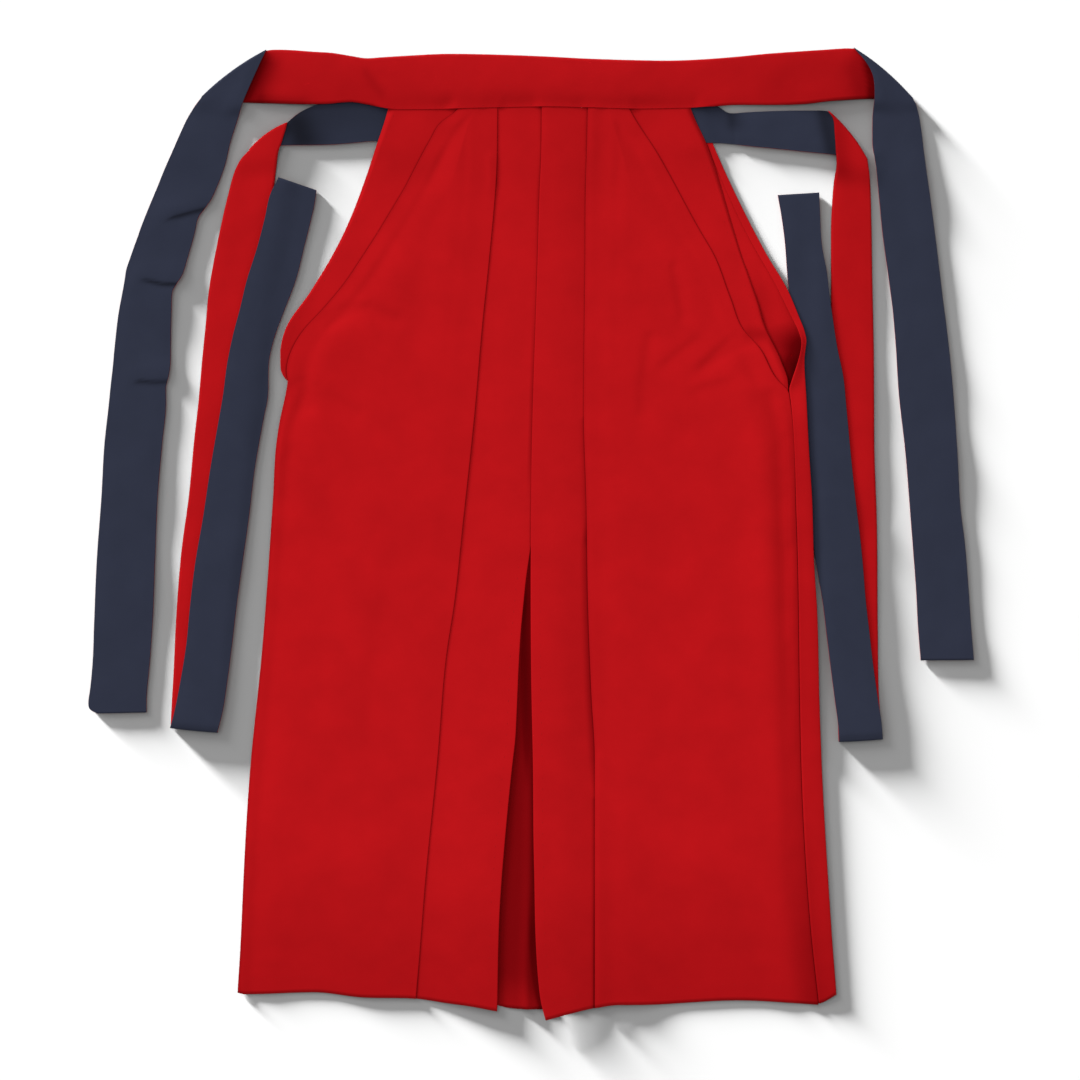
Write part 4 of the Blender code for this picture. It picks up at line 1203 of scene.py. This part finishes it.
def sew(name, seams, thread, seed, **sizes):
    """seams: lists of (x, y) on the board. sizes: Spacing, Length and Thickness in mm."""
    vertices, edges = [], []
    for seam in seams:
        points = [hit for hit in (on_top(x, y) for x, y in seam) if hit]
        edges += [(len(vertices) + i, len(vertices) + i + 1) for i in range(len(points) - 1)]
        vertices += points
    chain = bpy.data.meshes.new(name)
    chain.from_pydata(vertices, edges, [])
    sewn = new_object(name, chain)
    tree = sewing_tree(thread)
    modifier = sewn.modifiers.new("sew", "NODES")
    modifier.node_group = tree
    values = {"Seed": seed, **{label: size * MM for label, size in sizes.items()}}
    for socket in tree.interface.items_tree:
        if socket.in_out == "INPUT" and socket.name in values:
            modifier[socket.identifier] = values[socket.name]
    result = sewn.evaluated_get(bpy.context.evaluated_depsgraph_get())
    mesh = bpy.data.meshes.new_from_object(result)
    mesh.materials.clear()
    mesh.materials.append(thread)
    mesh.polygons.foreach_set("material_index", np.zeros(len(mesh.polygons), dtype=np.int32))
    mesh.shade_smooth()
    sewn.modifiers.clear()
    sewn.data = mesh
    print(f"{name}: {len(mesh.vertices) // STITCH_POINTS} stitches")
    return sewn


# %% Hems, slit, side openings and waistband
SEAM_STEP = 4.0  # between two points of a seam, mm
IN_FROM_HEM, IN_FROM_SLIT, IN_FROM_OPENING, UP_FROM_BAND_EDGE = 16.0, 9.0, 7.0, 2.5


def down_the_leg(line, offset, first, last):
    return [(soft_line(line, y) + offset, y) for y in np.arange(first, last, SEAM_STEP)]


def along_hem(line, first, last):
    return [(x, soft_line(line, x) - IN_FROM_HEM) for x in np.arange(first, last, SEAM_STEP)]


turned_edges = [
    along_hem(LEFT_HEM, 242, 494), along_hem(RIGHT_HEM, 543, 804),
    down_the_leg(LEFT_SLIT, -IN_FROM_SLIT, 556, 984),
    down_the_leg(RIGHT_SLIT, IN_FROM_SLIT, 556, 990),
    down_the_leg(LEFT_EDGE, IN_FROM_OPENING, 116, 352),
    down_the_leg(RIGHT_EDGE, -IN_FROM_OPENING, 116, 330),
]
lower_edge = zip(front_band["x"][:, -1], front_band["y"][:, -1])
on_pleats = [(x, y - UP_FROM_BAND_EDGE) for x, y in lower_edge if 384 < x < 702]
stitches = [
    sew("hem_stitches", turned_edges, red_thread, 5, Spacing=11.0, Length=1.8, Thickness=0.4),
    sew("waist_stitches", [on_pleats], red_thread, 6, Spacing=8.0, Length=2.2, Thickness=0.4),
]

# %% [markdown]
# ## Telling the frame about the pieces
# Each piece rides on the garment's one body and stands for its CAD solids, which are hidden. The
# table gives the size that each was cut to; a leg narrows towards the waist, so its area is given
# too.

# %% Ride on the body and stand in for the CAD solids
SHEETS = [
    # piece, its CAD nodes, cut (width, length), area, what it rests on
    (("back", "left"), ["back_leg_left"], (0.34, 0.92), 0.25, []),
    (("back", "right"), ["back_leg_right"], (0.36, 0.92), 0.28, []),
    (("front", "left"), ["front_leg_left"], (0.46, 0.92), 0.32, ["cloth_back_left"]),
    (("front", "right"), ["front_leg_right"], (0.46, 0.93), 0.33, ["cloth_back_right"]),
]
for end, cut in (("front", (0.06, 2.0)), ("back", (0.045, 2.9))):
    for layer in ("face", "lining"):
        nodes = [f"{end}_{part}_{layer}" for part in ("waistband", "tie_left", "tie_right")]
        SHEETS.append(((end, layer), nodes, cut, None, []))
for which, nodes, cut, area, below in SHEETS:
    piece = pieces[which]
    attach(piece, "root")
    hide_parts(*nodes)
for seam in stitches:
    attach(seam, "root")
print(len(SHEETS), "sheets stand for", sum(len(row[1]) for row in SHEETS), "CAD solids")

# %% [markdown]
# ## The table, the light and the camera
# The garment lies on a plain pale table. Soft light comes from all round, and a little more from
# the upper left: a high light models the folds, and a low one rounds their edges. Laid cloth in a
# studio also has a soft shadow set off towards the lower right. One lamp could draw both, but
# low enough for that shadow it would streak the cloth. So a third, nearly level light reaches
# only the table, through a light-linking collection, and the table's own colour is kept down
# because that light is strong. All three are far away, so the table is lit evenly. The camera
# looks straight down from 3 m.

# %% Table
TABLE, BELOW = 20.0, 0.0004  # half its side, and its depth below the cloth, in metres
TABLE_GREY = 0.273

material, tree, shader = new_material("pale_table")
fill(tree, shader, {"Base Color": (TABLE_GREY, TABLE_GREY, TABLE_GREY, 1.0), "Roughness": 0.9})
mesh = bpy.data.meshes.new("table")
corners = [(-TABLE, -TABLE), (TABLE, -TABLE), (TABLE, TABLE), (-TABLE, TABLE)]
mesh.from_pydata([(x, y, -BELOW) for x, y in corners], [], [(0, 1, 2, 3)])
mesh.materials.append(material)
table = new_object("table", mesh)


# %% Light
def far_light(name, elevation, softness, share):
    """Even light from the upper left that gives the table this share of white."""
    light = bpy.data.lights.new(name, "SUN")
    up = math.radians(elevation)
    light.angle = math.radians(softness)
    light.energy = share * math.pi / math.sin(up)
    lamp = new_object(name, light)
    towards = Vector((-math.cos(up), math.cos(up), math.sin(up) * math.sqrt(2)))
    lamp.rotation_euler = towards.to_track_quat("Z", "Y").to_euler()
    return lamp


far_light("high", 58, 40, 0.2)
far_light("low", 20, 20, 0.25)
table_light = far_light("ground", 4.5, 8.0, 2.5)
table_only = bpy.data.collections.new("table_only")
table_only.objects.link(table)
table_light.light_linking.receiver_collection = table_only
world = bpy.data.worlds.new("studio")
world.use_nodes = True
fill(world.node_tree, world.node_tree.nodes["Background"],
     {"Color": (1.0, 1.0, 1.0, 1.0), "Strength": 0.6})
bpy.context.scene.world = world
bpy.context.scene.view_settings.view_transform = "Standard"
print("lights:", len(bpy.data.lights))

# %% Camera
camera_data = bpy.data.cameras.new("camera")
camera_data.lens, camera_data.sensor_width = 100.0, 36.0
camera = new_object("camera", camera_data)
camera.location = ((BOARD / 2 - ORIGIN_X) * MM, (ORIGIN_Y - BOARD / 2) * MM, 3.003)
bpy.context.scene.camera = camera
print("camera at", [round(part, 4) for part in camera.location])
